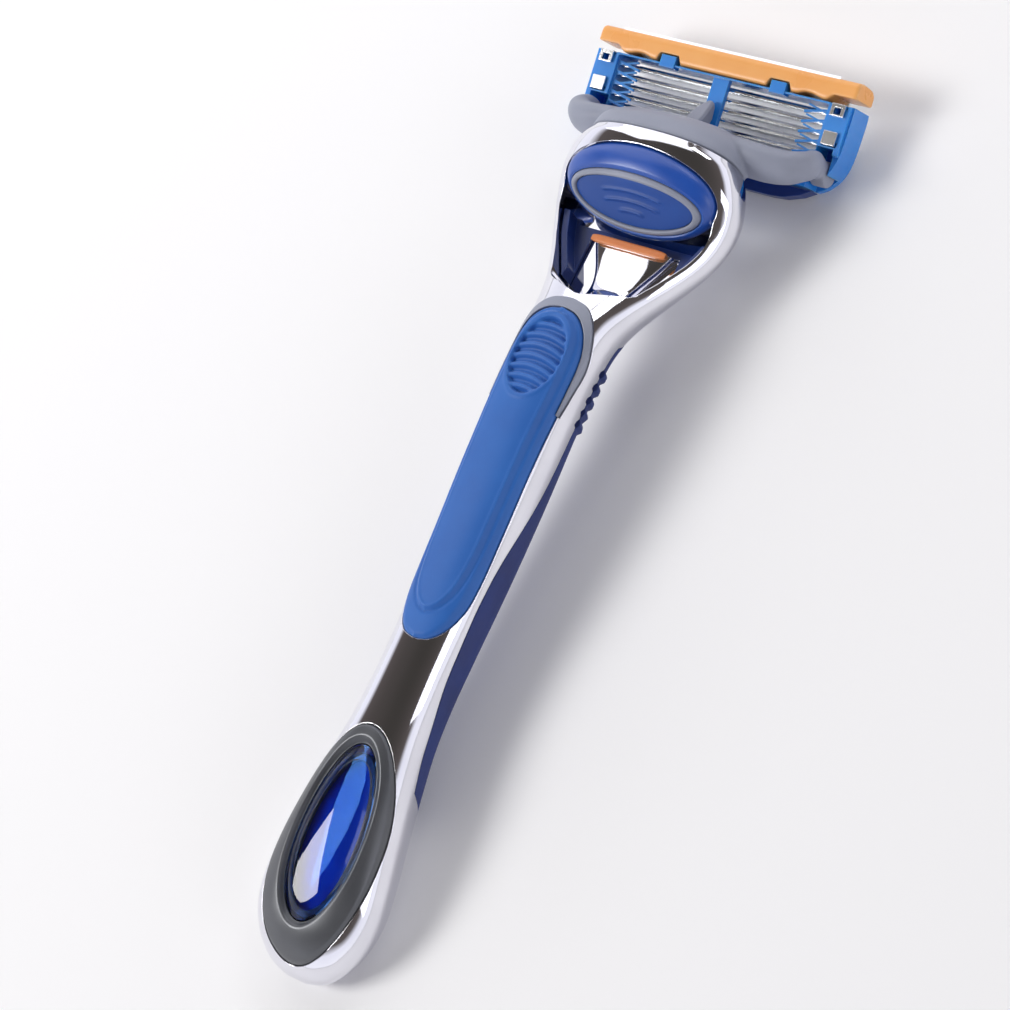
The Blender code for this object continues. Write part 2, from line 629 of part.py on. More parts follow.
# ---------------------------------------------------------------- plunger and its spring
PLUNGER = (
    (-8.2, 1.25, -1.15, 1.15), (-4.0, 1.25, -1.15, 1.15), (-2.0, 1.0, -0.9, 1.1),
    (-0.35, 0.55, -0.15, 0.9), (-0.1, 0.4, 0.15, 0.7),
)
mesh_data = bmesh.new()
rings = []
for t, half, low, high in PLUNGER:
    corners = ((-half, low), (half, low), (half, high - 0.35), (half - 0.3, high),
               (0.3 - half, high), (-half, high - 0.35))
    rings.append([tuple(plunger_turn @ Vector((x, t, z))) for x, z in corners])
add_loft(mesh_data, rings)
plunger = finish("plunger", mesh_data, GREY_PLASTIC)

coil("plunger_spring", plunger_turn @ Vector((0, -13.1, 0)), plunger_turn @ Vector((0, -8.6, 0)),
     0.85, 0.15, 6)


# ---------------------------------------------------------------- cartridge
def cartridge_solid(name, surface, outline, half_width, cutter=False, x_low=None):
    """Bar along the cartridge's width with an outline in (u, w): u runs from the guard
    to the cap along the back, w stands square to the back."""
    mesh_data = bmesh.new()
    low = -half_width if x_low is None else x_low
    add_loft(mesh_data, [[(x, u, w) for u, w in outline] for x in (low, half_width)])
    bmesh.ops.transform(mesh_data, matrix=cartridge_turn, verts=mesh_data.verts)
    return finish(name, mesh_data, surface, cutter=cutter)


def cartridge_boxes(name, surface, boxes, cutter=False):
    """Boxes in the cartridge's own directions, given as low and high corners."""
    mesh_data = bmesh.new()
    for low, high in boxes:
        add_box(mesh_data, low, high, cartridge_turn)
    return finish(name, mesh_data, surface, cutter=cutter)


HOUSING_PLAN = (
    (-7.3, 17.4), (-6.6, 18.6), (-5.0, 20.0), (-2.5, 20.8), (3.4, 21.0), (4.6, 20.9),
)
FACE = -5.2
mesh_data = bmesh.new()
plan = outline_from(HOUSING_PLAN)
add_loft(mesh_data, [[(x, u, w) for x, u in plan] for w in (FACE, -0.5)])
bmesh.ops.transform(mesh_data, matrix=cartridge_turn, verts=mesh_data.verts)
housing = finish("cartridge_housing", mesh_data, BLUE_PLASTIC)

# Raised end walls, lower rail and upper rail on the back.
rim = []
for side in (-1, 1):
    inner = side * 17.2
    outer_x = side * 20.7
    rim.append(((min(inner, outer_x), -2.4, -0.8), (max(inner, outer_x), 4.5, 0.0)))
rim.append(((-17.4, -4.9, -0.8), (17.4, -3.4, 0.15)))
rim.append(((-17.4, 4.2, -0.8), (17.4, 4.55, 0.1)))
for index, (low, high) in enumerate(rim):
    combine(housing, cartridge_boxes("rim_%d" % index, None, [(low, high)], cutter=True), "UNION")

window = cartridge_boxes("blade_window", None, [
    ((-WINDOW_HALF_WIDTH, WINDOW_LOW, -9.0), (WINDOW_HALF_WIDTH, WINDOW_HIGH, 4.0)),
], cutter=True)
combine(housing, window, "DIFFERENCE")
centre_bar = cartridge_boxes("centre_bar", None, [
    ((-1.25, WINDOW_LOW - 0.4, -0.9), (1.25, WINDOW_HIGH + 0.2, -0.05)),
], cutter=True)
combine(housing, centre_bar, "UNION")

# Sprung fingers that press on the ends of the blades.
for side in (-1, 1):
    for i in range(BLADE_COUNT):
        u = WINDOW_LOW + 0.75 + i * BLADE_PITCH
        turn = cartridge_turn @ Matrix.Translation((side * 15.6, u, -0.75)) @ Matrix.Rotation(
            math.radians(side * 12), 4, "Z")
        mesh_data = bmesh.new()
        add_box(mesh_data, (-2.1, -0.18, -0.2), (2.1, 0.18, 0.2), turn)
        finger = finish("finger_%d_%d" % (side + 1, i), mesh_data, None, cutter=True)
        combine(housing, finger, "UNION")

# Tabs that hook the orange cap.
for side in (-1, 1):
    tab = cartridge_boxes("cap_tab_%d" % (side + 1), None, [
        ((side * 9.0 - 1.2, 4.0, -1.2), (side * 9.0 + 1.2, 5.7, 0.3)),
    ], cutter=True)
    combine(housing, tab, "UNION")

# Pockets for the connector's arms, with a bearing hole for each pin.
p = PIVOT_LOCAL
pockets = []
for side in (-1, 1):
    near, far = sorted((side * 17.1, side * 19.9))
    pockets.append(((near, -12.0, p.z - 2.15), (far, p.y + 3.35, 6.0)))
pocket_cut = cartridge_boxes("arm_pockets", None, pockets, cutter=True)
combine(housing, pocket_cut, "DIFFERENCE")
mesh_data = bmesh.new()
for side in (-1, 1):
    add_rod(mesh_data, (side * 15.8, pivot.y, pivot.z), (side * 17.6, pivot.y, pivot.z), 1.05)
pin_holes = finish("pin_holes", mesh_data, None, cutter=True)
combine(housing, pin_holes, "DIFFERENCE")

# Clips: a strap on the face, two legs through the housing, two tabs on the back.
CLIP_X = (17.9, 20.0)
CLIP_LOWER = -1.2
CLIP_UPPER = 4.55
slots = []
for side, word in ((1, "right"), (-1, "left")):
    near, far = sorted((side * CLIP_X[0], side * CLIP_X[1]))
    strap = [
        ((near, CLIP_LOWER, -5.75), (far, CLIP_UPPER, -5.35)),
        ((near, CLIP_LOWER, -5.75), (far, CLIP_LOWER + 0.4, 0.5)),
        ((near, CLIP_UPPER - 0.4, -5.75), (far, CLIP_UPPER, 0.5)),
        ((near, CLIP_LOWER, 0.12), (far, CLIP_LOWER + 1.9, 0.5)),
        ((near, CLIP_UPPER - 1.7, 0.12), (far, CLIP_UPPER, 0.5)),
    ]
    clip = cartridge_boxes("clip_" + word, ALUMINIUM, strap[:1])
    for index, box in enumerate(strap[1:]):
        piece = cartridge_boxes("clip_%s_%d" % (word, index), None, [box], cutter=True)
        combine(clip, piece, "UNION")
    for u in (CLIP_LOWER, CLIP_UPPER - 0.4):
        slots.append(((near - 0.12, u - 0.12, -8.0), (far + 0.12, u + 0.52, 4.0)))
slot_cut = cartridge_boxes("clip_slots", None, slots, cutter=True)
combine(housing, slot_cut, "DIFFERENCE")

# Blades, each on its own bent support.
SUPPORT = ((0.0, -1.2), (0.25, -1.2), (0.25, -4.4), (0.95, -4.65), (0.95, -4.9), (0.0, -4.6))
BLADE = ((0.05, -4.78), (0.8, -5.07), (1.12, -5.26), (0.72, -5.17), (0.05, -4.91))
for i in range(BLADE_COUNT):
    u = WINDOW_LOW + 0.55 + i * BLADE_PITCH
    cartridge_solid("blade_support_%d" % (i + 1), STEEL, [(u + a, b) for a, b in SUPPORT],
                    BLADE_LENGTH / 2)
    cartridge_solid("blade_%d" % (i + 1), STEEL, [(u + a, b - 0.02) for a, b in BLADE],
                    BLADE_LENGTH / 2 - 0.2)

# Orange cap along the upper edge, notched round the two housing tabs.
CAP = ((4.75, -5.1), (7.2, -5.1), (7.9, -4.0), (8.1, -1.4), (7.95, -0.1), (7.5, 0.3), (4.75, 0.3))
cap = cartridge_solid("trimmer_cap", ORANGE, CAP, CARTRIDGE_WIDTH / 2)
notches = [
    ((side * 9.0 - 1.45, 4.0, -1.5), (side * 9.0 + 1.45, 5.95, 2.0)) for side in (-1, 1)
]
notch_cut = cartridge_boxes("cap_notches", None, notches, cutter=True)
combine(cap, notch_cut, "DIFFERENCE")
trimmer_slot = cartridge_solid(
    "trimmer_slot", None, ((6.7, -0.1), (9.5, -0.9), (9.5, -0.5), (6.7, 0.25)), 17.8, cutter=True)
combine(cap, trimmer_slot, "DIFFERENCE")
cartridge_solid(
    "trimmer_blade", STEEL, ((6.85, 0.0), (8.3, -0.43), (8.3, -0.33), (6.85, 0.1)), 17.6)

cartridge_solid(
    "lubricating_strip", STRIP_WHITE, ((4.9, -5.2), (7.3, -5.2), (7.1, -5.85), (5.2, -5.7)), 17.4)

# Guard with soft fins in front of the first blade.
GUARD_PLAN = (
    (-9.4, 11.0), (-9.2, 13.2), (-8.4, 15.6), (-7.45, 17.2),
)
mesh_data = bmesh.new()
plan = outline_from(GUARD_PLAN)
add_loft(mesh_data, [[(x, u, w) for x, u in plan] for w in (-4.9, -2.8)])
bmesh.ops.transform(mesh_data, matrix=cartridge_turn, verts=mesh_data.verts)
guard = finish("guard_bar", mesh_data, NAVY_PLASTIC)

FIN_COUNT = 10
fins = [((-16.6, -7.2, -5.5), (16.6, -3.75, FACE - 0.05))]
guard_fins = cartridge_boxes("guard_fins", NAVY_RUBBER, fins)
grooves = []
for i in range(FIN_COUNT):
    u = -7.0 + i * 0.34
    grooves.append(((-16.2, u, -6.0), (16.2, u + 0.16, -5.36)))
for index, box in enumerate(grooves):
    groove = cartridge_boxes("fin_groove_%d" % index, None, [box], cutter=True)
    combine(guard_fins, groove, "DIFFERENCE")
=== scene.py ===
"""Cartridge razor for wet shaving: the looks of each piece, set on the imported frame.

The razor lies blades down with its tail towards -Y and its cartridge towards +Y.
Sizes are in millimetres and each finished mesh is turned into metres.
"""
import math

import bmesh
import bpy
from mathutils import Matrix, Vector, kdtree


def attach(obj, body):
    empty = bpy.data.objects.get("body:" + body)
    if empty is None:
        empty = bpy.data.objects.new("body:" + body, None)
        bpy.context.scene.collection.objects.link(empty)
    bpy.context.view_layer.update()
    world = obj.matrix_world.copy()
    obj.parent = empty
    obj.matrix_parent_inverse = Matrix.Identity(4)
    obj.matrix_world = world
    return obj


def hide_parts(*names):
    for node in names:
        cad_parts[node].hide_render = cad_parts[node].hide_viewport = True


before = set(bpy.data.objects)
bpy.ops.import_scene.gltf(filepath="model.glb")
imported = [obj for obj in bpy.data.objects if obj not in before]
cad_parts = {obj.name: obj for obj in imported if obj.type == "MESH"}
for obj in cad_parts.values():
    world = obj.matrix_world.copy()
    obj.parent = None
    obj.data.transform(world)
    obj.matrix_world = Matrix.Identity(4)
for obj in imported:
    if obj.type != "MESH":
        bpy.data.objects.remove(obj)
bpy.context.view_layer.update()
scene = bpy.context.scene

# ------------------------ camera, floor and light
# The razor is shown on a pale seamless sheet, in a white room with a dark ceiling.  The
# chrome gets its dark top and its pale flanks from that room, and four softboxes light the
# rest.
def put_in_scene(name, data):
    """A new object in the scene."""
    made = bpy.data.objects.new(name, data)
    scene.collection.objects.link(made)
    return made


def new_material(name):
    """A new material, its node tree and its shader."""
    material = bpy.data.materials.new(name)
    material.use_nodes = True
    return material, material.node_tree, material.node_tree.nodes["Principled BSDF"]


camera_data = bpy.data.cameras.new("camera")
camera_data.lens = 100.0
camera_data.sensor_width = 36.0
camera_data.clip_start = 0.01
camera = put_in_scene("camera", camera_data)
camera_right = Vector((0.8077, 0.4402, -0.3922))
camera_up = Vector((-0.2802, 0.8719, 0.4016))
camera_back = Vector((0.5187, -0.2145, 0.8276))
camera.matrix_world = Matrix.Translation((0.19436, -0.083166, 0.319732)) @ Matrix(
    (camera_right, camera_up, camera_back)).transposed().to_4x4()
scene.camera = camera
scene.view_settings.view_transform = "Standard"

floor_mesh = bmesh.new()
bmesh.ops.create_grid(floor_mesh, x_segments=8, y_segments=8, size=3.0)
bmesh.ops.translate(floor_mesh, vec=(0.0, 0.0, -0.0002), verts=floor_mesh.verts)
floor_data = bpy.data.meshes.new("floor")
floor_mesh.to_mesh(floor_data)
floor_mesh.free()
floor = put_in_scene("floor", floor_data)
paper, _, paper_shader = new_material("paper_floor")
paper_shader.inputs["Base Color"].default_value = (0.94, 0.94, 0.95, 1.0)
paper_shader.inputs["Roughness"].default_value = 0.9
paper_shader.inputs["Specular IOR Level"].default_value = 0.1
floor_data.materials.append(paper)

world = bpy.data.worlds.new("studio")
scene.world = world
world.use_nodes = True
room = world.node_tree
direction = room.nodes.new("ShaderNodeTexCoord")
split = room.nodes.new("ShaderNodeSeparateXYZ")
walls = room.nodes.new("ShaderNodeValToRGB")
walls.color_ramp.elements[0].position = 0.0
walls.color_ramp.elements[0].color = (0.95, 0.95, 1.0, 1.0)
walls.color_ramp.elements[1].position = 1.0
walls.color_ramp.elements[1].color = (0.05, 0.045, 0.04, 1.0)
for height, colour in ((0.34, (0.86, 0.86, 0.93, 1.0)), (0.52, (0.10, 0.085, 0.08, 1.0))):
    stop = walls.color_ramp.elements.new(height)
    stop.color = colour
room.links.new(direction.outputs["Generated"], split.inputs["Vector"])
room.links.new(split.outputs["Z"], walls.inputs["Fac"])
room.links.new(walls.outputs["Color"], room.nodes["Background"].inputs["Color"])
room.nodes["Background"].inputs["Strength"].default_value = 1.15

for name, place, width, height, power, tint in (
    ("key_softbox", (-0.55, -0.42, 0.78), 0.42, 0.36, 6.5, (1.0, 0.99, 0.97)),
    ("fill_softbox", (0.20, 0.75, 0.70), 0.45, 0.25, 1.5, (0.97, 0.98, 1.0)),
    ("right_softbox", (0.80, -0.10, 0.45), 0.35, 0.35, 0.8, (0.93, 0.94, 1.0)),
    ("head_panel", (-0.20, 0.28, 0.34), 0.42, 0.40, 0.75, (0.97, 0.97, 1.0)),
):
    lamp_data = bpy.data.lights.new(name, "AREA")
    lamp_data.shape = "RECTANGLE"
    lamp_data.size = width
    lamp_data.size_y = height
    lamp_data.energy = power
    lamp_data.color = tint
    lamp = put_in_scene(name, lamp_data)
    lamp.visible_camera = False
    lamp.location = place
    lamp.rotation_euler = (-Vector(place)).to_track_quat("-Z", "Y").to_euler()

# ------------------------ chrome handle frame
# One zinc casting from the tail to the collar round the button, polished and chrome plated.
# Pockets for the two grips and the tail inlay are cast in; the head opens between two rails.
HALF_WIDTH = (
    (-70.6, 1.6), (-70.0, 3.6), (-69.0, 5.2), (-67.0, 7.0), (-64.0, 8.5), (-60.0, 9.2),
    (-55.0, 8.8), (-48.0, 7.7), (-42.0, 6.7), (-36.0, 5.8), (-30.0, 5.5), (-24.0, 5.5),
    (-12.0, 5.8), (0.0, 6.1), (12.0, 6.2), (20.0, 6.4), (24.0, 7.0), (28.0, 8.3),
    (32.0, 10.2), (36.0, 12.2), (40.0, 13.7), (44.0, 14.3), (47.0, 13.7), (49.0, 12.8),
    (50.4, 11.9),
)
TOP = (
    (-70.6, 3.4), (-70.0, 4.9), (-69.0, 6.3), (-67.0, 8.2), (-64.0, 9.9), (-60.0, 11.2),
    (-54.0, 12.5), (-48.0, 13.4), (-42.0, 14.0), (-36.0, 14.2), (-30.0, 14.6), (-24.0, 15.1),
    (-12.0, 16.4), (0.0, 18.0), (10.0, 19.0), (18.0, 19.2), (22.0, 18.9), (26.0, 17.6),
    (30.0, 16.2), (34.0, 15.2), (38.0, 15.0), (42.0, 16.4), (46.0, 19.2), (49.0, 20.3),
    (50.4, 20.1),
)
UNDERSIDE = (
    (-70.6, 2.3), (-70.0, 1.3), (-69.0, 0.8), (-67.0, 0.3), (-64.0, 0.05), (-60.0, 0.0),
    (-54.0, 0.7), (-48.0, 1.7), (-42.0, 2.6), (-36.0, 3.3), (-30.0, 3.8), (-24.0, 4.1),
    (-12.0, 4.9), (0.0, 6.3), (10.0, 7.7), (18.0, 8.4), (24.0, 8.0), (30.0, 6.6),
    (36.0, 5.8), (42.0, 5.4), (48.0, 5.4), (52.0, 5.7),
)
ROUNDNESS = 2.35                 # power of the rounded cross-section
CLEARANCE = 0.15                 # gap round each inlaid piece
ABOVE = 24.0                     # height that clears the whole razor
MM = 0.001
ACROSS = Matrix(((0, 0, 1, 0), (1, 0, 0, 0), (0, 1, 0, 0), (0, 0, 0, 1)))


def interpolate(table, y):
    """Smooth value of a table at y, with a slope taken from the neighbouring stations."""
    if y <= table[0][0]:
        return table[0][1]
    if y >= table[-1][0]:
        return table[-1][1]
    index = max(i for i in range(len(table) - 1) if table[i][0] <= y)
    y0, v0 = table[index]
    y1, v1 = table[index + 1]
    before = table[max(index - 1, 0)]
    after = table[min(index + 2, len(table) - 1)]
    span = y1 - y0
    slope0 = (v1 - before[1]) / (y1 - before[0])
    slope1 = (after[1] - v0) / (after[0] - y0)
    t = (y - y0) / span
    return (
        (2 * t**3 - 3 * t**2 + 1) * v0 + (t**3 - 2 * t**2 + t) * span * slope0
        + (3 * t**2 - 2 * t**3) * v1 + (t**3 - t**2) * span * slope1
    )


def along(table, t):
    """The station at a share t of the way from a table's first row to its last."""
    return table[0][0] + (table[-1][0] - table[0][0]) * t


def boxed(wave, power):
    """A sine or cosine bent by a power below 1, which turns an oval into a rounded box."""
    return math.copysign(abs(wave) ** power, wave)


def shaped_grid(columns, rows, place):
    """A grid whose corners are moved by place(across, along), both from 0 to 1."""
    sheet = bmesh.new()
    bmesh.ops.create_grid(sheet, x_segments=columns, y_segments=rows, size=0.5)
    for vertex in sheet.verts:
        vertex.co = place(vertex.co.x + 0.5, vertex.co.y + 0.5)
    return sheet


def close_and_finish(name, sheet, sharp=35.0):
    """Merge the seam, cap open ends, point the faces outwards and make the object."""
    bmesh.ops.remove_doubles(sheet, verts=sheet.verts, dist=1e-4)
    rim = [edge for edge in sheet.edges if edge.is_boundary]
    if rim:
        bmesh.ops.edgeloop_fill(sheet, edges=rim)
    bmesh.ops.recalc_face_normals(sheet, faces=sheet.faces)
    bmesh.ops.scale(sheet, vec=(MM, MM, MM), verts=sheet.verts)
    mesh = bpy.data.meshes.new(name)
    sheet.to_mesh(mesh)
    sheet.free()
    mesh.shade_smooth()
    mesh.set_sharp_from_angle(angle=math.radians(sharp))
    return put_in_scene(name, mesh)


def spread(table):
    """A mapping from 0..1 along a table, with more rows where its stations lie closer."""
    steps = [0.0]
    for near, far in zip(table, table[1:]):
        steps.append(steps[-1] + math.sqrt(far[0] - near[0]))
    weights = [(s / steps[-1], row[0]) for s, row in zip(steps, table)]

    def station(t):
        index = min(sum(1 for w, _ in weights[1:] if w <= t), len(weights) - 2)
        w0, y0 = weights[index]
        w1, y1 = weights[index + 1]
        return y0 + (y1 - y0) * (t - w0) / (w1 - w0)
    return station


def section_point(y, angle, grow=0.0):
    """Point on the handle's outside at y and at an angle round its cross-section."""
    half = max(interpolate(HALF_WIDTH, y) + grow, 0.3)
    middle = (interpolate(TOP, y) + interpolate(UNDERSIDE, y)) / 2
    rise = max(interpolate(TOP, y) - middle + grow, 0.3)
    x = half * boxed(math.cos(angle), 2 / ROUNDNESS)
    return Vector((x, y, middle + rise * boxed(math.sin(angle), 2 / ROUNDNESS)))


def skin_height(x, y, grow=0.0):
    """Height of the handle's upper surface at (x, y)."""
    half = max(interpolate(HALF_WIDTH, y) + grow, 0.3)
    middle = (interpolate(TOP, y) + interpolate(UNDERSIDE, y)) / 2
    rise = max(interpolate(TOP, y) - middle + grow, 0.3)
    inside = max(0.0, 1.0 - abs(x / half) ** ROUNDNESS)
    return middle + rise * inside ** (1 / ROUNDNESS)


def handle_body(name, station, rows, grow=0.0, columns=96):
    """The handle's outside along station(0..1); grow is an amount or a function of y."""
    amount = grow if callable(grow) else (lambda y: grow)
    return close_and_finish(name, shaped_grid(
        columns, rows,
        lambda u, t: section_point(station(t), 2 * math.pi * u, amount(station(t)))))


def under_skin(name, low, high, depth, rows):
    """Cutter filling everything further than a depth below the handle's upper surface."""
    bottom = -12.0
    wall = 0.04                  # share of the sheet that makes each side wall

    def place(u, t):
        y = low + (high - low) * t
        half = interpolate(HALF_WIDTH, y) + 1.0
        if u < wall:
            return Vector((half, y, bottom))
        if u > 1 - wall:
            return Vector((-half, y, bottom))
        x = half * math.cos(math.pi * (u - wall) / (1 - 2 * wall))
        return Vector((x, y, skin_height(x, y) - depth))
    sheet = shaped_grid(50, rows, place)
    ends = [edge for edge in sheet.edges if edge.is_boundary]
    floor_edges = [edge for edge in ends if all(v.co.z < bottom + 0.1 for v in edge.verts)]
    bmesh.ops.contextual_create(sheet, geom=floor_edges)
    return close_and_finish(name, sheet)


def outline_points(table, grow=0.0):
    """Closed symmetric plan outline from (y, half width) pairs, tail to head."""
    right = [(max(half + grow, 0.02), y) for y, half in table]
    return right + [(-x, y) for x, y in reversed(right)]


def oval_point(angle, centre_y, half_width, tail_reach, head_reach):
    """Point of an egg outline with its own reach towards the tail and towards the head."""
    reach = head_reach if math.sin(angle) > 0 else tail_reach
    return half_width * math.cos(angle), centre_y + reach * math.sin(angle)


def oval_points(centre_y, *reaches, count=96):
    """The whole egg outline as evenly spread points."""
    return [
        oval_point(2 * math.pi * i / count, centre_y, *reaches) for i in range(count)
    ]


def prism(name, points, low, high, turn=None):
    """Solid with a flat outline of (x, y) points, from one height to another."""
    solid = bmesh.new()
    base = solid.faces.new([solid.verts.new((x, y, low)) for x, y in points])
    top = bmesh.ops.extrude_face_region(solid, geom=[base])
    moved = [item for item in top["geom"] if isinstance(item, bmesh.types.BMVert)]
    bmesh.ops.translate(solid, vec=(0.0, 0.0, high - low), verts=moved)
    if turn:
        bmesh.ops.transform(solid, matrix=turn, verts=solid.verts)
    return close_and_finish(name, solid)


def side_prism(name, points, half_width):
    """Solid running across the razor with a side outline of (y, z) points."""
    return prism(name, points, -half_width, half_width, ACROSS)


def box(name, low, high, turn=None):
    """Rectangular cutter between two corners."""
    corners = ((low[0], low[1]), (high[0], low[1]), (high[0], high[1]), (low[0], high[1]))
    return prism(name, corners, low[2], high[2], turn)


def work(target, *steps):
    """Apply ("cut" | "join" | "keep", solid) steps to a piece and remove the solids."""
    kinds = {"cut": "DIFFERENCE", "join": "UNION", "keep": "INTERSECT"}
    for kind, solid in steps:
        step = target.modifiers.new(solid.name, "BOOLEAN")
        step.operation = kinds[kind]
        step.solver = "EXACT"
        step.object = solid
    ready = target.evaluated_get(bpy.context.evaluated_depsgraph_get())
    mesh = bpy.data.meshes.new_from_object(ready)
    target.modifiers.clear()
    target.data = mesh
    mesh.shade_smooth()
    mesh.set_sharp_from_angle(angle=math.radians(35.0))
    for _, solid in steps:
        bpy.data.objects.remove(solid, do_unlink=True)


PAD_OUTLINE = (
    (-25.0, 0.4), (-24.6, 1.7), (-23.5, 2.9), (-21.5, 3.9), (-18.0, 4.6), (-8.0, 4.9),
    (4.0, 5.1), (12.0, 5.3), (17.0, 5.2), (20.0, 4.5), (21.8, 3.3), (22.8, 1.8), (23.1, 0.4),
)
COLLAR_OUTLINE = (
    (9.0, 5.42), (12.0, 5.6), (17.0, 5.75), (20.6, 5.2), (23.0, 4.1), (24.4, 2.5), (24.9, 0.5),
)
PAD_DEPTH = 1.5


def fine_outline(table, count=60, grow=0.0):
    """The outline of a table followed in small smooth steps."""
    low, high = table[0][0], table[-1][0]
    rows = []
    for i in range(count + 1):
        y = low + (high - low) * (1 - math.cos(math.pi * i / count)) / 2
        rows.append((y, interpolate(table, y)))
    return outline_points(rows, grow)


frame_piece = handle_body("chrome_frame", spread(TOP), 170)
pad_pocket = prism("pad_pocket", fine_outline(PAD_OUTLINE, grow=CLEARANCE), 9.0, ABOVE)
work(pad_pocket, ("cut", under_skin("pad_floor", -40.0, 40.0, PAD_DEPTH, 50)))
collar_pocket = prism("collar_pocket", fine_outline(COLLAR_OUTLINE, 30, CLEARANCE), 12.5, ABOVE)
work(collar_pocket, ("cut", under_skin("collar_floor", 0.0, 40.0, PAD_DEPTH, 30)))

GRIP_TAIL = -47.0
GRIP_HEAD = 26.0
BAND_EDGE = (                    # lower edge of the chrome band as a share of the height
    (-47.0, 0.48), (-43.0, 0.52), (-39.0, 0.56), (-35.0, 0.58), (-29.0, 0.66), (-23.0, 0.69),
    (-17.0, 0.70), (-11.0, 0.66), (-1.0, 0.49), (8.0, 0.42), (26.0, 0.36),
)


def split_outline(lift):
    """Side outline of everything below the chrome band, pointed at both ends."""
    upper = []
    for i in range(60):
        y = GRIP_TAIL + 4 + (GRIP_HEAD - GRIP_TAIL - 8) * i / 59
        low = interpolate(UNDERSIDE, y)
        share = interpolate(BAND_EDGE, y)
        upper.append((y, low + share * (interpolate(TOP, y) - low) + lift))
    tail_tip = (GRIP_TAIL - lift, interpolate(UNDERSIDE, GRIP_TAIL) - 1.5)
    head_tip = (GRIP_HEAD + lift, interpolate(UNDERSIDE, GRIP_HEAD) - 1.5)
    return [tail_tip] + upper + [head_tip, (GRIP_HEAD - 3, -4.0), (GRIP_TAIL + 3, -4.0)]


VALLEY = (
    (26.0, 0.4), (26.8, 2.8), (28.2, 6.3), (30.0, 7.5), (33.0, 9.1), (36.0, 10.7), (39.5, 12.0),
    (42.5, 12.1),
)
VALLEY_FLOOR = 8.7
CHAMBER = ((41.0, 10.9), (46.0, 11.2), (48.2, 9.9), (49.2, 7.5))
TONGUE = (                       # rows of y, half width and top
    (24.9, 2.5, 16.4), (27.0, 2.7, 13.2), (29.0, 2.9, 11.6), (31.0, 3.35, 10.8),
    (33.0, 4.15, 10.45), (35.0, 5.2, 10.4), (37.4, 6.4, 10.6),
)


def column(table, index):
    """The (position, value) pairs of one column of a table."""
    return tuple((row[0], row[index]) for row in table)


def tongue_place(u, t):
    """Rounded bar that widens towards the head and sweeps down like a slide."""
    y = along(TONGUE, t)
    half = interpolate(column(TONGUE, 1), y)
    top = interpolate(column(TONGUE, 2), y)
    bottom = VALLEY_FLOOR - 0.8
    angle = 2 * math.pi * u
    x = half * boxed(math.cos(angle), 0.3)
    z = (top + bottom) / 2 + (top - bottom) / 2 * boxed(math.sin(angle), 0.3)
    return Vector((x, y, z - 0.25 * (x / half) ** 2))


BUTTON_CENTRE = Vector((0.0, 43.7, 14.6))
BUTTON_SLOPE = math.radians(50.0)
BUTTON_HALF_WIDTH = 12.0
BUTTON_HALF_HEIGHT = 6.6
WELL_HALF_HEIGHT = BUTTON_HALF_HEIGHT + 0.3
button_turn = Matrix.Translation(BUTTON_CENTRE) @ Matrix.Rotation(BUTTON_SLOPE, 4, "X")
BEZEL_Y = -56.0
BEZEL_OVAL = (7.7, 13.2, 18.4)   # half width, reach to the tail, reach to the head
BEZEL_DEPTH = 4.2
bezel_pocket = prism("bezel_pocket", oval_points(
    BEZEL_Y, *[reach + CLEARANCE for reach in BEZEL_OVAL]), 0.0, ABOVE)
work(bezel_pocket, ("cut", under_skin("tail_floor", -70.6, -30.0, BEZEL_DEPTH, 40)))
work(
    frame_piece,
    ("cut", pad_pocket),
    ("cut", collar_pocket),
    ("cut", side_prism("grip_space", split_outline(CLEARANCE), 20.0)),
    ("cut", prism("valley", fine_outline(VALLEY, 30), VALLEY_FLOOR, 30.0)),
    ("cut", prism("chamber", fine_outline(CHAMBER, 12), VALLEY_FLOOR, 12.4)),
    ("cut", box("neck_socket", (-6.8, 46.5, 8.9), (6.8, 60.0, 14.9))),
    ("cut", box("upper_socket", (-3.9, 48.7, 12.0), (3.9, 60.0, 16.3))),
    ("join", close_and_finish("tongue", shaped_grid(64, 24, tongue_place))),
    ("cut", bezel_pocket),
    ("cut", prism("button_well", oval_points(
        0.0, BUTTON_HALF_WIDTH + 0.3, WELL_HALF_HEIGHT, WELL_HALF_HEIGHT),
        -2.65, 20.0, button_turn)),
)
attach(frame_piece, "handle")
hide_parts("handle_frame")


def effect(name, inputs, outputs):
    """A new shader node group with named float inputs and named outputs."""
    group = bpy.data.node_groups.new(name, "ShaderNodeTree")
    for label, value in inputs:
        socket = group.interface.new_socket(
            name=label, in_out="INPUT", socket_type="NodeSocketFloat")
        socket.default_value = value
    for label, kind in outputs:
        group.interface.new_socket(name=label, in_out="OUTPUT", socket_type=kind)
    return group, group.nodes.new("NodeGroupInput"), group.nodes.new("NodeGroupOutput")


def noise(group, scale, detail, place, stretch=None):
    """A noise texture on Object coordinates; scale is a socket or a number."""
    texture = group.nodes.new("ShaderNodeTexNoise")
    texture.inputs["Detail"].default_value = detail
    if stretch:
        turn = group.nodes.new("ShaderNodeMapping")
        turn.inputs["Scale"].default_value = stretch
        group.links.new(place, turn.inputs["Vector"])
        place = turn.outputs["Vector"]
    group.links.new(place, texture.inputs["Vector"])
    if hasattr(scale, "default_value"):
        group.links.new(scale, texture.inputs["Scale"])
    else:
        texture.inputs["Scale"].default_value = scale
    return texture.outputs["Fac"]


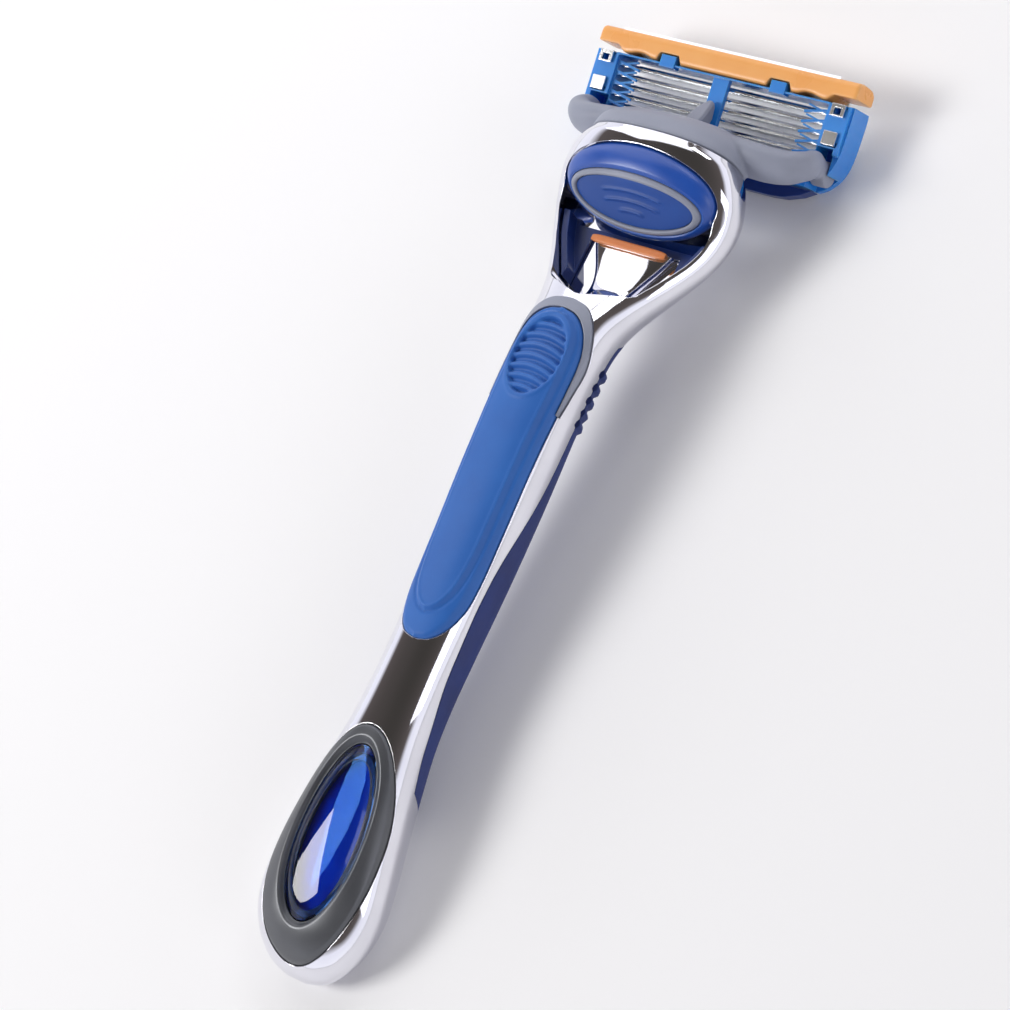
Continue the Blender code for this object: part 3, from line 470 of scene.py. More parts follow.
def stepped(group, value, low, high, smallest=0.0, largest=1.0):
    """Map a value between two limits onto another pair, without going past them."""
    node = group.nodes.new("ShaderNodeMapRange")
    for label, number in (
        ("From Min", low), ("From Max", high), ("To Min", smallest), ("To Max", largest),
    ):
        node.inputs[label].default_value = number
    group.links.new(value, node.inputs["Value"])
    return node.outputs["Result"]


# Fine moulded texture: a grain for the bump and a slow mottle for colour and gloss.
grain, grain_in, grain_out = effect(
    "moulded_grain", (("Grain Scale", 4000.0), ("Mottle Scale", 150.0)),
    (("Height", "NodeSocketFloat"), ("Mottle", "NodeSocketFloat")))
grain_place = grain.nodes.new("ShaderNodeTexCoord").outputs["Object"]
grain.links.new(
    noise(grain, grain_in.outputs["Grain Scale"], 3.0, grain_place), grain_out.inputs["Height"])
grain.links.new(stepped(
    grain, noise(grain, grain_in.outputs["Mottle Scale"], 4.0, grain_place), 0.3, 0.7),
    grain_out.inputs["Mottle"])

# Finger marks and fine polishing lines on bright metal and gloss plastic.
marks, marks_in, marks_out = effect(
    "handling_marks", (("Smudge Scale", 90.0), ("Line Scale", 900.0)),
    (("Smudge", "NodeSocketFloat"), ("Lines", "NodeSocketFloat")))
marks_place = marks.nodes.new("ShaderNodeTexCoord").outputs["Object"]
marks.links.new(stepped(
    marks, noise(marks, marks_in.outputs["Smudge Scale"], 6.0, marks_place), 0.42, 0.72),
    marks_out.inputs["Smudge"])
marks.links.new(noise(
    marks, marks_in.outputs["Line Scale"], 2.0, marks_place, (6.0, 0.25, 6.0)),
    marks_out.inputs["Lines"])

# Soft moulded or polished edges, and a mask that paints the edges lighter: a painted edge
# highlight, broken into patches with rubbed wear.
edges, edges_in, edges_out = effect(
    "rounded_edges_and_highlight_rub", (("Radius", 0.0002), ("Rub Scale", 700.0)),
    (("Normal", "NodeSocketVector"), ("Highlight And Rub", "NodeSocketFloat")))
rounding = edges.nodes.new("ShaderNodeBevel")
rounding.samples = 4
edges.links.new(edges_in.outputs["Radius"], rounding.inputs["Radius"])
edges.links.new(rounding.outputs["Normal"], edges_out.inputs["Normal"])
flatness = edges.nodes.new("ShaderNodeVectorMath")
flatness.operation = "DOT_PRODUCT"
edges.links.new(rounding.outputs["Normal"], flatness.inputs[0])
edges.links.new(
    edges.nodes.new("ShaderNodeNewGeometry").outputs["True Normal"], flatness.inputs[1])
# Edge mask times patchy noise: painted edge highlight together with rubbed wear.
highlight_rub_mask = edges.nodes.new("ShaderNodeMath")
highlight_rub_mask.operation = "MULTIPLY"
edges.links.new(stepped(edges, flatness.outputs["Value"], 0.99, 0.85), highlight_rub_mask.inputs[0])
edges.links.new(stepped(edges, noise(
    edges, edges_in.outputs["Rub Scale"], 3.0,
    edges.nodes.new("ShaderNodeTexCoord").outputs["Object"]), 0.35, 0.65, 0.3, 1.0),
    highlight_rub_mask.inputs[1])
edges.links.new(highlight_rub_mask.outputs["Value"], edges_out.inputs["Highlight And Rub"])


def placed(material, group, **values):
    """Put an effect into a material with its own values."""
    node = material.node_tree.nodes.new("ShaderNodeGroup")
    node.node_tree = group
    for label, value in values.items():
        node.inputs[label.replace("_", " ").title()].default_value = value
    return node


def mixed(material, mask, first, second):
    """A colour that goes from first to second with a mask; either may be a socket."""
    node = material.node_tree.nodes.new("ShaderNodeMix")
    node.data_type = "RGBA"
    material.node_tree.links.new(mask, node.inputs["Factor"])
    # The colour sockets share their names with the number sockets, so they go by place.
    for socket, value in ((node.inputs[6], first), (node.inputs[7], second)):
        if hasattr(value, "default_value"):
            material.node_tree.links.new(value, socket)
        else:
            socket.default_value = (*value, 1.0)
    return node.outputs[2]


def bumped(material, height, depth, normal):
    """A bump of the given depth in metres over the normal of the rounded edges."""
    tree = material.node_tree
    node = tree.nodes.new("ShaderNodeBump")
    node.inputs["Distance"].default_value = depth
    node.inputs["Strength"].default_value = 1.0
    tree.links.new(height, node.inputs["Height"])
    tree.links.new(normal, node.inputs["Normal"])
    return node.outputs["Normal"]


def plated(name, colour, shade, gloss, radius=0.00015, line_depth=1e-7):
    """Polished or brushed metal with finger marks; gloss gives the roughness when clean
    and when smudged."""
    material, tree, shader = new_material(name)
    shader.inputs["Metallic"].default_value = 1.0
    used = placed(material, marks)
    soft = placed(material, edges, radius=radius)
    tree.links.new(
        mixed(material, used.outputs["Smudge"], colour, shade), shader.inputs["Base Color"])
    tree.links.new(
        stepped(tree, used.outputs["Smudge"], 0.0, 1.0, *gloss), shader.inputs["Roughness"])
    tree.links.new(bumped(
        material, used.outputs["Lines"], line_depth, soft.outputs["Normal"]),
        shader.inputs["Normal"])
    return material


def moulded(name, colour, light, highlight_rub_colour, roughness, grain_scale=4000.0, depth=1.5e-5,
            radius=0.0002):
    """Moulded rubber or plastic: colour and light mottle together, and the third colour is
    painted on the edges, a painted highlight with patches of rubbed wear; roughness is a pair."""
    material, tree, shader = new_material(name)
    texture = placed(material, grain, grain_scale=grain_scale)
    soft = placed(material, edges, radius=radius)
    body_colour = mixed(material, texture.outputs["Mottle"], colour, light)
    # Edges take the lighter third colour: painted edge highlight, with rubbed wear in patches.
    tree.links.new(
        mixed(material, soft.outputs["Highlight And Rub"], body_colour, highlight_rub_colour), shader.inputs["Base Color"])
    tree.links.new(
        stepped(tree, texture.outputs["Mottle"], 0.0, 1.0, *roughness),
        shader.inputs["Roughness"])
    tree.links.new(bumped(
        material, texture.outputs["Height"], depth, soft.outputs["Normal"]),
        shader.inputs["Normal"])
    return material


def tuned(material, **values):
    """Set constants on a material's shader by the names of its sockets."""
    shader = material.node_tree.nodes["Principled BSDF"]
    for label, value in values.items():
        shader.inputs[label.replace("_", " ").title()].default_value = value


def covered(piece, material):
    """Give a piece one material in place of any that a cut has left on it."""
    piece.data.materials.clear()
    piece.data.materials.append(material)


# The faint lavender-blue tint in both chrome colours is a painted reflection of blue
# surroundings.
chrome = plated("polished_chrome", (0.80, 0.80, 0.86), (0.74, 0.74, 0.80), (0.035, 0.10))
covered(frame_piece, chrome)

# ------------------------ upper grip
# Soft blue rubber moulded into the long pocket on the top.  A raised centre panel ends in a
# crease near the edge, and the thumb rest at the head end has arched cross ribs.
PANEL_OUTLINE = (
    (-21.2, 0.0), (-20.8, 1.0), (-19.6, 2.1), (-17.5, 3.0), (-13.5, 3.6), (-6.0, 3.85),
    (4.0, 4.05), (12.0, 4.3), (17.0, 4.2), (19.6, 3.7), (21.3, 2.5), (22.0, 1.2), (22.2, 0.0),
)
GRIP_EDGE = 0.8                  # rounding of the outer edge
PANEL_STEP = 0.30                # rise of the panel over the border round it
PANEL_LIP = 0.10                 # swelling just inside the panel's edge
CREASE = 0.16                    # groove just outside it
REST_Y = 15.4                    # middle of the oval thumb rest
REST_HALF = 3.75
REST_REACH = 5.9
RIB_PITCH = 1.55
RIB_ARCH = 0.055
RIB_DROP = 0.62                  # how far the ribs sit below the surface round them
RIB_WAVE = 0.34


def edge_finder(table, step=0.08):
    """Nearest distance to an outline, as a tree of closely spaced points."""
    points = []
    for (y_near, _), (y_far, _) in zip(table, table[1:]):
        count = max(2, int(8 * (y_far - y_near) / step ** 0.5))
        for i in range(count):
            y = y_near + (y_far - y_near) * i / count
            points.append((interpolate(table, y), y))
    tree = kdtree.KDTree(2 * len(points))
    for index, (x, y) in enumerate(points):
        tree.insert((x, y, 0.0), 2 * index)
        tree.insert((-x, y, 0.0), 2 * index + 1)
    tree.balance()
    return tree


def eased(value, low, high):
    """0 below low, 1 above high, and a smooth rise between."""
    t = min(max((value - low) / (high - low), 0.0), 1.0)
    return t * t * (3 - 2 * t)


pad_edge = edge_finder(PAD_OUTLINE)
panel_edge = edge_finder(PANEL_OUTLINE)


def grip_place(u, t):
    """Point of the grip's upper surface."""
    y = along(PAD_OUTLINE, t)
    x = math.sin(math.pi * (u - 0.5)) * interpolate(PAD_OUTLINE, y)
    margin = min(pad_edge.find((x, y, 0.0))[2], GRIP_EDGE)
    if abs(u - 0.5) > 0.499 or t < 0.0005 or t > 0.9995:
        margin = 0.0
    drop = GRIP_EDGE - math.sqrt(GRIP_EDGE ** 2 - (GRIP_EDGE - margin) ** 2)
    inside = -22.0 < y < 22.4 and abs(x) < interpolate(PANEL_OUTLINE, y)
    panel = panel_edge.find((x, y, 0.0))[2] * (1 if inside else -1)
    relief = PANEL_STEP * eased(panel, -0.15, 0.45) - PANEL_STEP
    relief += PANEL_LIP * math.exp(-((panel - 0.35) / 0.22) ** 2)
    relief -= CREASE * math.exp(-((panel + 0.25) / 0.22) ** 2)
    rest = math.hypot(x / REST_HALF, (y - REST_Y) / REST_REACH)
    wave = math.cos(2 * math.pi * (y + RIB_ARCH * x * x - REST_Y) / RIB_PITCH)
    ribs = RIB_WAVE * boxed(wave, 0.7) - RIB_DROP
    hollow = eased(1.0 - rest, 0.0, 0.10)
    relief = relief * (1 - hollow) + ribs * hollow
    relief += PANEL_LIP * math.exp(-((rest - 1.06) / 0.05) ** 2)
    return Vector((x, y, skin_height(x, y, 0.75) - drop + relief))


def padded_down(name, sheet, depth, open_centre=False, turn=None):
    """Give a top surface side walls and a flat underside, and finish it.  A ring's underside
    joins its two rims."""
    bmesh.ops.remove_doubles(sheet, verts=sheet.verts, dist=1e-4)
    rim = [edge for edge in sheet.edges if edge.is_boundary]
    walls_made = bmesh.ops.extrude_edge_only(sheet, edges=rim)
    lower = [item for item in walls_made["geom"] if isinstance(item, bmesh.types.BMVert)]
    bmesh.ops.translate(sheet, vec=(0.0, 0.0, -depth), verts=lower)
    if open_centre:
        rim = [edge for edge in sheet.edges if edge.is_boundary]
        bmesh.ops.bridge_loops(sheet, edges=rim)
    if turn:
        bmesh.ops.transform(sheet, matrix=turn, verts=sheet.verts)
    return close_and_finish(name, sheet, sharp=50.0)


upper_grip = padded_down("blue_grip", shaped_grid(84, 430, grip_place), 1.2)
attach(upper_grip, "handle")
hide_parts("upper_grip")
blue_rubber = moulded(
    "blue_rubber", (0.009, 0.105, 0.42), (0.013, 0.130, 0.48), (0.05, 0.24, 0.68), (0.50, 0.60),
    grain_scale=3200.0, depth=1.2e-5, radius=0.00012)
tuned(blue_rubber, sheen_weight=0.15)
covered(upper_grip, blue_rubber)

# ------------------------ grey collar
# Matte grey plastic crescent clipped round the head end of the rubber, just proud of the
# chrome.
collar = handle_body("grey_collar", lambda t: 8.0 + 18.0 * t, 60, 0.35)
collar_shape = prism("collar_shape", fine_outline(COLLAR_OUTLINE, 40), 12.9, ABOVE)
work(collar_shape, ("cut", under_skin("collar_under", 0.0, 40.0, PAD_DEPTH - CLEARANCE, 60)))
work(
    collar, ("keep", collar_shape),
    ("cut", prism("collar_inside", fine_outline(PAD_OUTLINE, grow=CLEARANCE), 5.0, 30.0)))
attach(collar, "handle")
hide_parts("grip_collar")
grey_plastic = moulded(
    "grey_plastic", (0.25, 0.27, 0.34), (0.29, 0.31, 0.39), (0.42, 0.45, 0.52), (0.42, 0.52),
    grain_scale=5000.0, depth=8e-6, radius=0.00025)
covered(collar, grey_plastic)

# ------------------------ underside grip
# Navy rubber shell that fills the lower half of the shaft, with five cross fins where the
# finger rests behind the head.
FIN_PITCH = 1.9
FIN_HEIGHT = 0.45


def fin_height(y):
    """How far the rubber stands out: five rounded fins behind the head."""
    if not 8.6 < y < 18.3:
        return 0.0
    return FIN_HEIGHT * eased(math.sin(2 * math.pi * (y - 9.6) / FIN_PITCH), -0.35, 0.35)


underside = handle_body("navy_grip", lambda t: 75.0 * t - 48.0, 150, fin_height, columns=72)
work(underside, ("keep", side_prism("grip_shape", split_outline(0.0), 20.0)))
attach(underside, "handle")
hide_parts("underside_grip")
navy_rubber = moulded(
    "navy_rubber", (0.010, 0.022, 0.125), (0.016, 0.034, 0.17), (0.04, 0.08, 0.30), (0.55, 0.68),
    grain_scale=3200.0, depth=1.5e-5)
covered(underside, navy_rubber)

# ------------------------ tail bezel
# Oval surround in dark satin plastic set into the tail.  Its face is a rounded band that
# rolls down to the window inside and to a thin step against the chrome outside.
WINDOW_Y = -53.5
BEZEL_HOLE = (4.95, 10.65, 13.45)


def bezel_place(u, t):
    """Band between the outer and the inner oval, with rolled edges on both sides."""
    angle = 2 * math.pi * u
    outer = oval_point(angle, BEZEL_Y, *BEZEL_OVAL)
    inner = oval_point(angle, WINDOW_Y, *BEZEL_HOLE)
    across = (1 - math.cos(math.pi * t)) / 2
    x = outer[0] + (inner[0] - outer[0]) * across
    y = outer[1] + (inner[1] - outer[1]) * across
    width = math.hypot(outer[0] - inner[0], outer[1] - inner[1])
    from_outer = across * width
    from_inner = (1 - across) * width
    drop = 0.35 * (1 - eased(from_outer, -0.35, 0.35)) * 2
    drop += 0.75 * (1 - eased(from_inner, 0.0, 0.9))
    crown = 0.10 * math.sin(math.pi * across)
    return Vector((x, y, skin_height(x, y, 0.35) - drop + crown - 0.10))


bezel = padded_down("satin_bezel", shaped_grid(160, 22, bezel_place), 3.4, True)
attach(bezel, "handle")
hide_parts("tail_bezel")
satin_grey = moulded(
    "satin_grey", (0.095, 0.100, 0.112), (0.115, 0.120, 0.132), (0.25, 0.26, 0.28), (0.30, 0.38),
    grain_scale=7000.0, depth=4e-6, radius=0.0001)
tuned(satin_grey, metallic=0.35)
covered(bezel, satin_grey)


# ------------------------ tail inlay
# A clear blue domed window over an orange ring and a bright blue backing plate, pressed into
# the bezel one on another.
def inlay(name, outline, top, thickness, hole=None, rows=14):
    """Layer that follows the tail's surface between two depths, with an optional hole."""
    def place(u, t):
        angle = 2 * math.pi * u
        rim = oval_point(angle, WINDOW_Y, *outline)
        core = oval_point(angle, WINDOW_Y, *hole) if hole else (0.0, WINDOW_Y)
        share = 1 - math.sin(math.pi / 2 * t) if not hole else 1 - t
        x = core[0] + (rim[0] - core[0]) * share
        y = core[1] + (rim[1] - core[1]) * share
        depth = top(share) if callable(top) else top
        return Vector((x, y, skin_height(x, y) - depth))
    piece = padded_down(name, shaped_grid(120, rows, place), thickness, bool(hole))
    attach(piece, "handle")
    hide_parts(name)
    return piece


def window_depth(share):
    """The window is a low dome with a rolled edge."""
    return -0.05 - 0.20 * (1 - share ** 2) + 0.55 * eased(share, 0.82, 1.0)


window = inlay("tail_window", (4.75, 10.45, 13.25), window_depth, 0.9, rows=26)
ring = inlay("tail_ring", (4.3, 9.6, 12.2), 1.65, 0.8, hole=(3.6, 8.7, 11.2), rows=4)
plate = inlay("tail_plate", (4.7, 10.4, 13.2), 2.7, 0.7)
window_blue, window_tree, window_shader = new_material("clear_blue")
window_shader.inputs["Transmission Weight"].default_value = 1.0
window_shader.inputs["IOR"].default_value = 1.46
smudge = placed(window_blue, marks).outputs["Smudge"]
window_tree.links.new(
    mixed(window_blue, smudge, (0.10, 0.30, 0.85), (0.13, 0.34, 0.85)),
    window_shader.inputs["Base Color"])
window_tree.links.new(
    stepped(window_tree, smudge, 0.0, 1.0, 0.01, 0.05), window_shader.inputs["Roughness"])
covered(window, window_blue)
orange = moulded(
    "orange_plastic", (0.78, 0.215, 0.055), (0.84, 0.25, 0.07), (0.95, 0.45, 0.20), (0.28, 0.36),
    grain_scale=6000.0, depth=3e-6, radius=0.00025)
tuned(orange, subsurface_weight=0.1)
covered(ring, orange)
backing_blue = moulded(
    "backing_blue", (0.015, 0.11, 0.50), (0.02, 0.14, 0.58), (0.05, 0.25, 0.80), (0.35, 0.45),
    depth=3e-6)
covered(plate, backing_blue)

# ------------------------ accent strip
# Slim orange bar that closes the wide end of the chrome tongue below the button.
STRIP_LOW = Vector((-6.0, 36.2, 10.75))
STRIP_HIGH = Vector((6.0, 37.4, 11.5))


def strip_place(u, t):
    """Rounded bar across the tongue."""
    angle = 2 * math.pi * u
    size = (STRIP_HIGH - STRIP_LOW) / 2
    centre = (STRIP_HIGH + STRIP_LOW) / 2
    end = 1.0 - 0.35 * abs(2 * t - 1) ** 12
    return Vector((
        centre.x + size.x * (2 * t - 1),
        centre.y + size.y * boxed(math.cos(angle), 0.5) * end,
        centre.z + size.z * boxed(math.sin(angle), 0.5) * end))


strip = close_and_finish("orange_strip", shaped_grid(28, 40, strip_place), sharp=60.0)
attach(strip, "handle")
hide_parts("accent_strip")
covered(strip, orange)

# ------------------------ thumb button
# Domed blue button that slides towards the head to push the connector out.  Its body is hard
# satin plastic, with an oval grey ring pressed in and a softer dished pad inside the ring.
BUTTON_DOME = 3.7
RING_SHIFT = -0.7                # the oval sits a little towards the tail side of the dome
RING_SEAT = (10.55, 4.5)
RING_OUTER = (10.45, 4.4)
RING_INNER = (9.5, 3.5)
PAD_RIM = (9.42, 3.42)
ARC_RIBS = (                     # rows of middle, half length and sag of the ends
    (0.95, 5.2, 0.75), (-0.55, 4.7, 0.70), (-2.0, 2.3, 0.35),
)


def dome_height(x, v):
    """Height of the button's dome over its sloping plane."""
    inside = 1.0 - (x / BUTTON_HALF_WIDTH) ** 2 - (v / BUTTON_HALF_HEIGHT) ** 2
    return BUTTON_DOME * math.sqrt(max(inside, 0.0))


def banded(u, share, outer, inner, outer_shift=0.0):
    """Point at a share of the way from an outer oval to an inner one."""
    angle = 2 * math.pi * u
    x = outer[0] + (inner[0] - outer[0]) * share
    v = outer[1] + (inner[1] - outer[1]) * share
    shift = outer_shift + (RING_SHIFT - outer_shift) * share
    return x * math.cos(angle), shift + v * math.sin(angle)


def button_place(u, t):
    """Band of the dome between its rim and the seat of the ring."""
    share = t ** 1.6
    x, v = banded(u, share, (BUTTON_HALF_WIDTH, BUTTON_HALF_HEIGHT), RING_SEAT)
    return Vector((x, v, dome_height(x, v) - 0.25 * eased(t, 0.86, 1.0)))


def ring_place(u, t):
    """Half-round ring standing slightly above the dome."""
    x, v = banded(u, t, RING_OUTER, RING_INNER, RING_SHIFT)
    return Vector((x, v, dome_height(x, v) - 0.30 + 0.42 * math.sqrt(1 - (2 * t - 1) ** 2)))


def pad_place(u, t):
    """Dished pad with three arched ribs."""
    share = math.sin(math.pi / 2 * t)
    x, v = banded(u, share, PAD_RIM, (0.0, 0.0), RING_SHIFT)
    radius = 1 - share
    height = dome_height(x, v) - 0.42 - 0.75 * (1 - radius ** 2) ** 1.2
    for middle, half_length, sag in ARC_RIBS:
        line = middle - sag * (x / half_length) ** 2
        fade = 1 - eased(abs(x), half_length - 0.9, half_length)
        height += 0.24 * fade * math.exp(-((v - line) / 0.26) ** 2)
    return Vector((x, v, height))


def button_part(name, node, columns, rows, place, depth, open_centre):
    """One piece of the button, built on its sloping plane."""
    piece = padded_down(
        name, shaped_grid(columns, rows, place), depth, open_centre, button_turn)
    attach(piece, "button")
    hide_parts(node)
    return piece


button = button_part(
    "button_body", "button_cap", 180, 26, button_place, 0.9, False)
button_ring = button_part(
    "button_oval_ring", "button_ring", 180, 12, ring_place, 0.8, True)
button_pad = button_part(
    "button_dished_pad", "button_pad", 260, 56, pad_place, 0.6, False)
satin_blue = moulded(
    "satin_blue", (0.012, 0.070, 0.36), (0.016, 0.085, 0.42), (0.05, 0.20, 0.65), (0.30, 0.38),
    grain_scale=6000.0, depth=4e-6)
tuned(satin_blue, coat_weight=0.25, coat_roughness=0.25)
pad_blue = moulded(
    "pad_blue", (0.009, 0.055, 0.27), (0.012, 0.070, 0.33), (0.06, 0.22, 0.62), (0.42, 0.52),
    grain_scale=5000.0, depth=8e-6)
covered(button, satin_blue)
covered(button_ring, grey_plastic)
covered(button_pad, pad_blue)

# ------------------------ works under the button
# The navy plastic core lines the open head, the grey slider passes the button's push on to the
# connector, and two small coils of spring wire bring the button and the plunger back.
navy_plastic = moulded(
    "navy_plastic", (0.010, 0.030, 0.16), (0.014, 0.040, 0.20), (0.05, 0.12, 0.42), (0.30, 0.40),
    grain_scale=6000.0, depth=4e-6)
spring_wire = plated(
    "spring_wire", (0.45, 0.45, 0.47), (0.38, 0.37, 0.37), (0.25, 0.35), 0.00003)
for node, finish_material in (
    ("head_core", navy_plastic), ("ejector_slider", grey_plastic),
    ("button_spring", spring_wire), ("plunger_spring", spring_wire),
):
    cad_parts[node].data.materials[0] = finish_material

# ------------------------ connector
# Matte grey plastic head piece: a hood that plugs into the handle and two curved arms that end
# in eyes on the pivot.  It is moulded in one, so the arms flow out of the hood.
CARTRIDGE_TILT = math.radians(18.0)
BACK_CENTRE = Vector((0.0, 61.2, 8.0))
cartridge_turn = Matrix.Translation(BACK_CENTRE) @ Matrix.Rotation(CARTRIDGE_TILT, 4, "X")
PIVOT_LOCAL = Vector((0.0, -4.9, -2.0))
pivot = cartridge_turn @ PIVOT_LOCAL
HOOD = (                         # rows of y, half width, bottom and top
    (50.65, 11.9, 6.1, 20.0), (52.6, 11.6, 6.7, 19.3), (53.9, 10.9, 7.3, 18.2),
    (55.0, 9.7, 8.1, 16.7), (55.8, 8.2, 9.0, 15.0), (56.2, 6.8, 9.8, 13.6),
)
ARM = (                          # rows of x, y, z, half thickness and half height
    (7.6, 53.6, 11.8, 2.1, 3.9), (10.8, 53.5, 11.7, 2.15, 3.8), (13.8, 53.5, 11.4, 2.2, 3.4),
    (16.4, 54.0, 10.7, 2.1, 2.9), (18.2, 55.3, 9.6, 1.75, 2.35), (18.5, 56.5, 8.2, 1.35, 2.0),
    (18.5, 57.0, 6.5, 1.15, 1.6), (18.5, 57.1, 4.9, 1.0, 1.2),
)


def hood_place(u, t):
    """Outside of the hood, a rounded box that closes in towards the cartridge."""
    y = along(HOOD, t)
    half, low, high = [interpolate(column(HOOD, index), y) for index in (1, 2, 3)]
    angle = 2 * math.pi * u
    z = (high + low) / 2 + (high - low) / 2 * boxed(math.sin(angle), 0.85)
    return Vector((half * boxed(math.cos(angle), 0.85), y, z))


def arm_path(t):
    """Centre and half sizes of the right arm, smoothed between its stations."""
    place = t * (len(ARM) - 1)
    numbered = [[(i, row[k]) for i, row in enumerate(ARM)] for k in range(5)]
    return [interpolate(rows, place) for rows in numbered]


def arm_place(side):
    """Outside of one arm: an oval section carried along its path."""
    def place(u, t):
        x, y, z, half, height = arm_path(t)
        before = Vector(arm_path(max(t - 0.02, 0.0))[:3])
        after = Vector(arm_path(min(t + 0.02, 1.0))[:3])
        along = (after - before).normalized()
        across = along.cross(Vector((0.0, 0.0, 1.0))).normalized()
        upwards = across.cross(along)
        angle = 2 * math.pi * u
        point = Vector((x, y, z)) + across * half * math.cos(angle)
        point += upwards * height * math.sin(angle)
        return Vector((side * point.x, point.y, point.z))
    return place


def across_rod(name, start, end, y, z, radius):
    """Round pin lying along the razor's width."""
    solid = bmesh.new()
    bmesh.ops.create_cone(
        solid, cap_ends=True, segments=48, radius1=radius, radius2=radius,
        depth=abs(end - start), matrix=Matrix.Translation(((start + end) / 2, y, z))
        @ Matrix.Rotation(math.pi / 2, 4, "Y"))
    return close_and_finish(name, solid)


connector = close_and_finish("grey_connector", shaped_grid(72, 30, hood_place))
joined = [
    ("join", box("neck", (-6.5, 47.4, 9.1), (6.5, 53.0, 14.7))),
    ("join", box("upper_neck", (-3.6, 49.0, 12.0), (3.6, 53.2, 16.0))),
]
for side in (-1, 1):
    joined.append(("join", close_and_finish("arm", shaped_grid(40, 40, arm_place(side)))))
    joined.append(("join", across_rod("eye", side * 17.35, side * 19.65, pivot.y, pivot.z, 1.8)))
work(connector, *joined)
smooth = connector.modifiers.new("one_moulding", "REMESH")
smooth.mode = "VOXEL"
smooth.voxel_size = 0.22 * MM
smooth.use_smooth_shade = True
flow = connector.modifiers.new("flowing_corners", "SMOOTH")
flow.factor = 0.5
flow.iterations = 8
PLUNGER_SLOPE = math.radians(-25.0)
plunger_turn = Matrix.Translation((0.0, 61.55, 8.35)) @ Matrix.Rotation(PLUNGER_SLOPE, 4, "X")
work(
    connector,
    ("join", across_rod("pin_left", -17.6, -16.1, pivot.y, pivot.z, 0.85)),
    ("join", across_rod("pin_right", 16.1, 17.6, pivot.y, pivot.z, 0.85)),
    ("cut", box("bore", (-1.45, -13.4, -1.35), (1.45, 0.0, 1.35), plunger_turn)),
)
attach(connector, "head")
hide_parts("connector")
covered(connector, grey_plastic)

# ------------------------ plunger
# Wedge-shaped finger of the same grey plastic that slides in the hood and presses the
# cartridge back to rest.
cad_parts["plunger"].data.materials[0] = grey_plastic

# ------------------------ cartridge housing
# Moulded in clear-toned blue plastic: a flat tray with a window for the blades, a centre bar
# the plunger presses on, sprung fingers under the blade ends and pockets for the arms.
WINDOW_HALF_WIDTH = 17.0
WINDOW_LOW = -3.3
WINDOW_HIGH = 4.3
FACE = -5.2
BLADE_COUNT = 5
BLADE_PITCH = 1.42
HOUSING_PLAN = (
    (-7.3, 17.4), (-6.6, 18.6), (-5.0, 20.0), (-2.5, 20.8), (3.4, 21.0), (4.6, 20.9),
)
HOUSING_FINGER = (               # the two legs of a finger: x, y, turn and half sizes
    (15.6, 0.75, 12, (2.1, 0.18, 0.2)), (15.8, 0.95, -14, (1.9, 0.14, 0.15)),
)
TAB_X = 9.0
CLIP_X = (17.9, 20.0)
CLIP_LOWER = -1.2
CLIP_UPPER = 4.55
STRAP = 0.4                      # thickness of the aluminium straps
SLOT_GAP = 0.12


def tray_box(name, low, high):
    """Cutter between two corners in the cartridge's own directions."""
    ordered = [sorted(pair) for pair in zip(low, high)]
    return box(name, [pair[0] for pair in ordered], [pair[1] for pair in ordered],
               cartridge_turn)


def strap_opening(name, side, low):
    """Cutter for the square opening near the upper end of a strap."""
    return tray_box(name, (side * 18.4, 3.05, low), (side * 19.5, 4.0, 1.0))


housing = prism("blue_housing", fine_outline(HOUSING_PLAN, 24), FACE, -0.5, cartridge_turn)
steps = [
    ("join", tray_box("lower_rail", (-17.4, -4.9, -0.8), (17.4, -3.4, 0.15))),
    ("join", tray_box("upper_rail", (-17.4, 4.2, -0.8), (17.4, 4.55, 0.1))),
]
for side in (-1, 1):
    steps.append(("join", tray_box(
        "end_wall", (side * 17.2, -2.4, -0.8), (side * 20.7, 4.5, 0.0))))
steps += [
    ("cut", tray_box(
        "window", (-WINDOW_HALF_WIDTH, WINDOW_LOW, -9.0), (WINDOW_HALF_WIDTH, WINDOW_HIGH, 4.0))),
    ("join", tray_box(
        "centre_bar", (-1.25, WINDOW_LOW - 0.4, -0.9), (1.25, WINDOW_HIGH + 0.2, -0.05))),
]
for side in (-1, 1):
    for i in range(BLADE_COUNT):
        # Each finger is a slim V, which lets it spring.
        for x, y, angle, size in HOUSING_FINGER:
            turn = cartridge_turn @ Matrix.Translation(
                (side * x, WINDOW_LOW + y + i * BLADE_PITCH, -0.75)) @ Matrix.Rotation(
                math.radians(side * angle), 4, "Z")
            steps.append(("join", box("leg", [-half for half in size], size, turn)))
    steps += [
        ("join", tray_box(
            "cap_tab", (side * TAB_X - 1.2, 4.0, -1.2), (side * TAB_X + 1.2, 5.7, 0.3))),
        ("cut", tray_box(
            "arm_pocket", (side * 17.1, -12.0, PIVOT_LOCAL.z - 2.15),
            (side * 19.9, PIVOT_LOCAL.y + 3.35, 6.0))),
        ("cut", across_rod("pin_hole", side * 15.8, side * 17.6, pivot.y, pivot.z, 1.05)),
    ]
    for y in (CLIP_LOWER, CLIP_UPPER - STRAP):
        steps.append(("cut", tray_box(
            "clip_slot", (side * (CLIP_X[0] - SLOT_GAP), y - SLOT_GAP, -8.0),
            (side * (CLIP_X[1] + SLOT_GAP), y + STRAP + SLOT_GAP, 4.0))))
    steps.append(("cut", strap_opening("clip_pit", side, -3.0)))
work(housing, *steps)
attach(housing, "cartridge")
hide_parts("cartridge_housing")
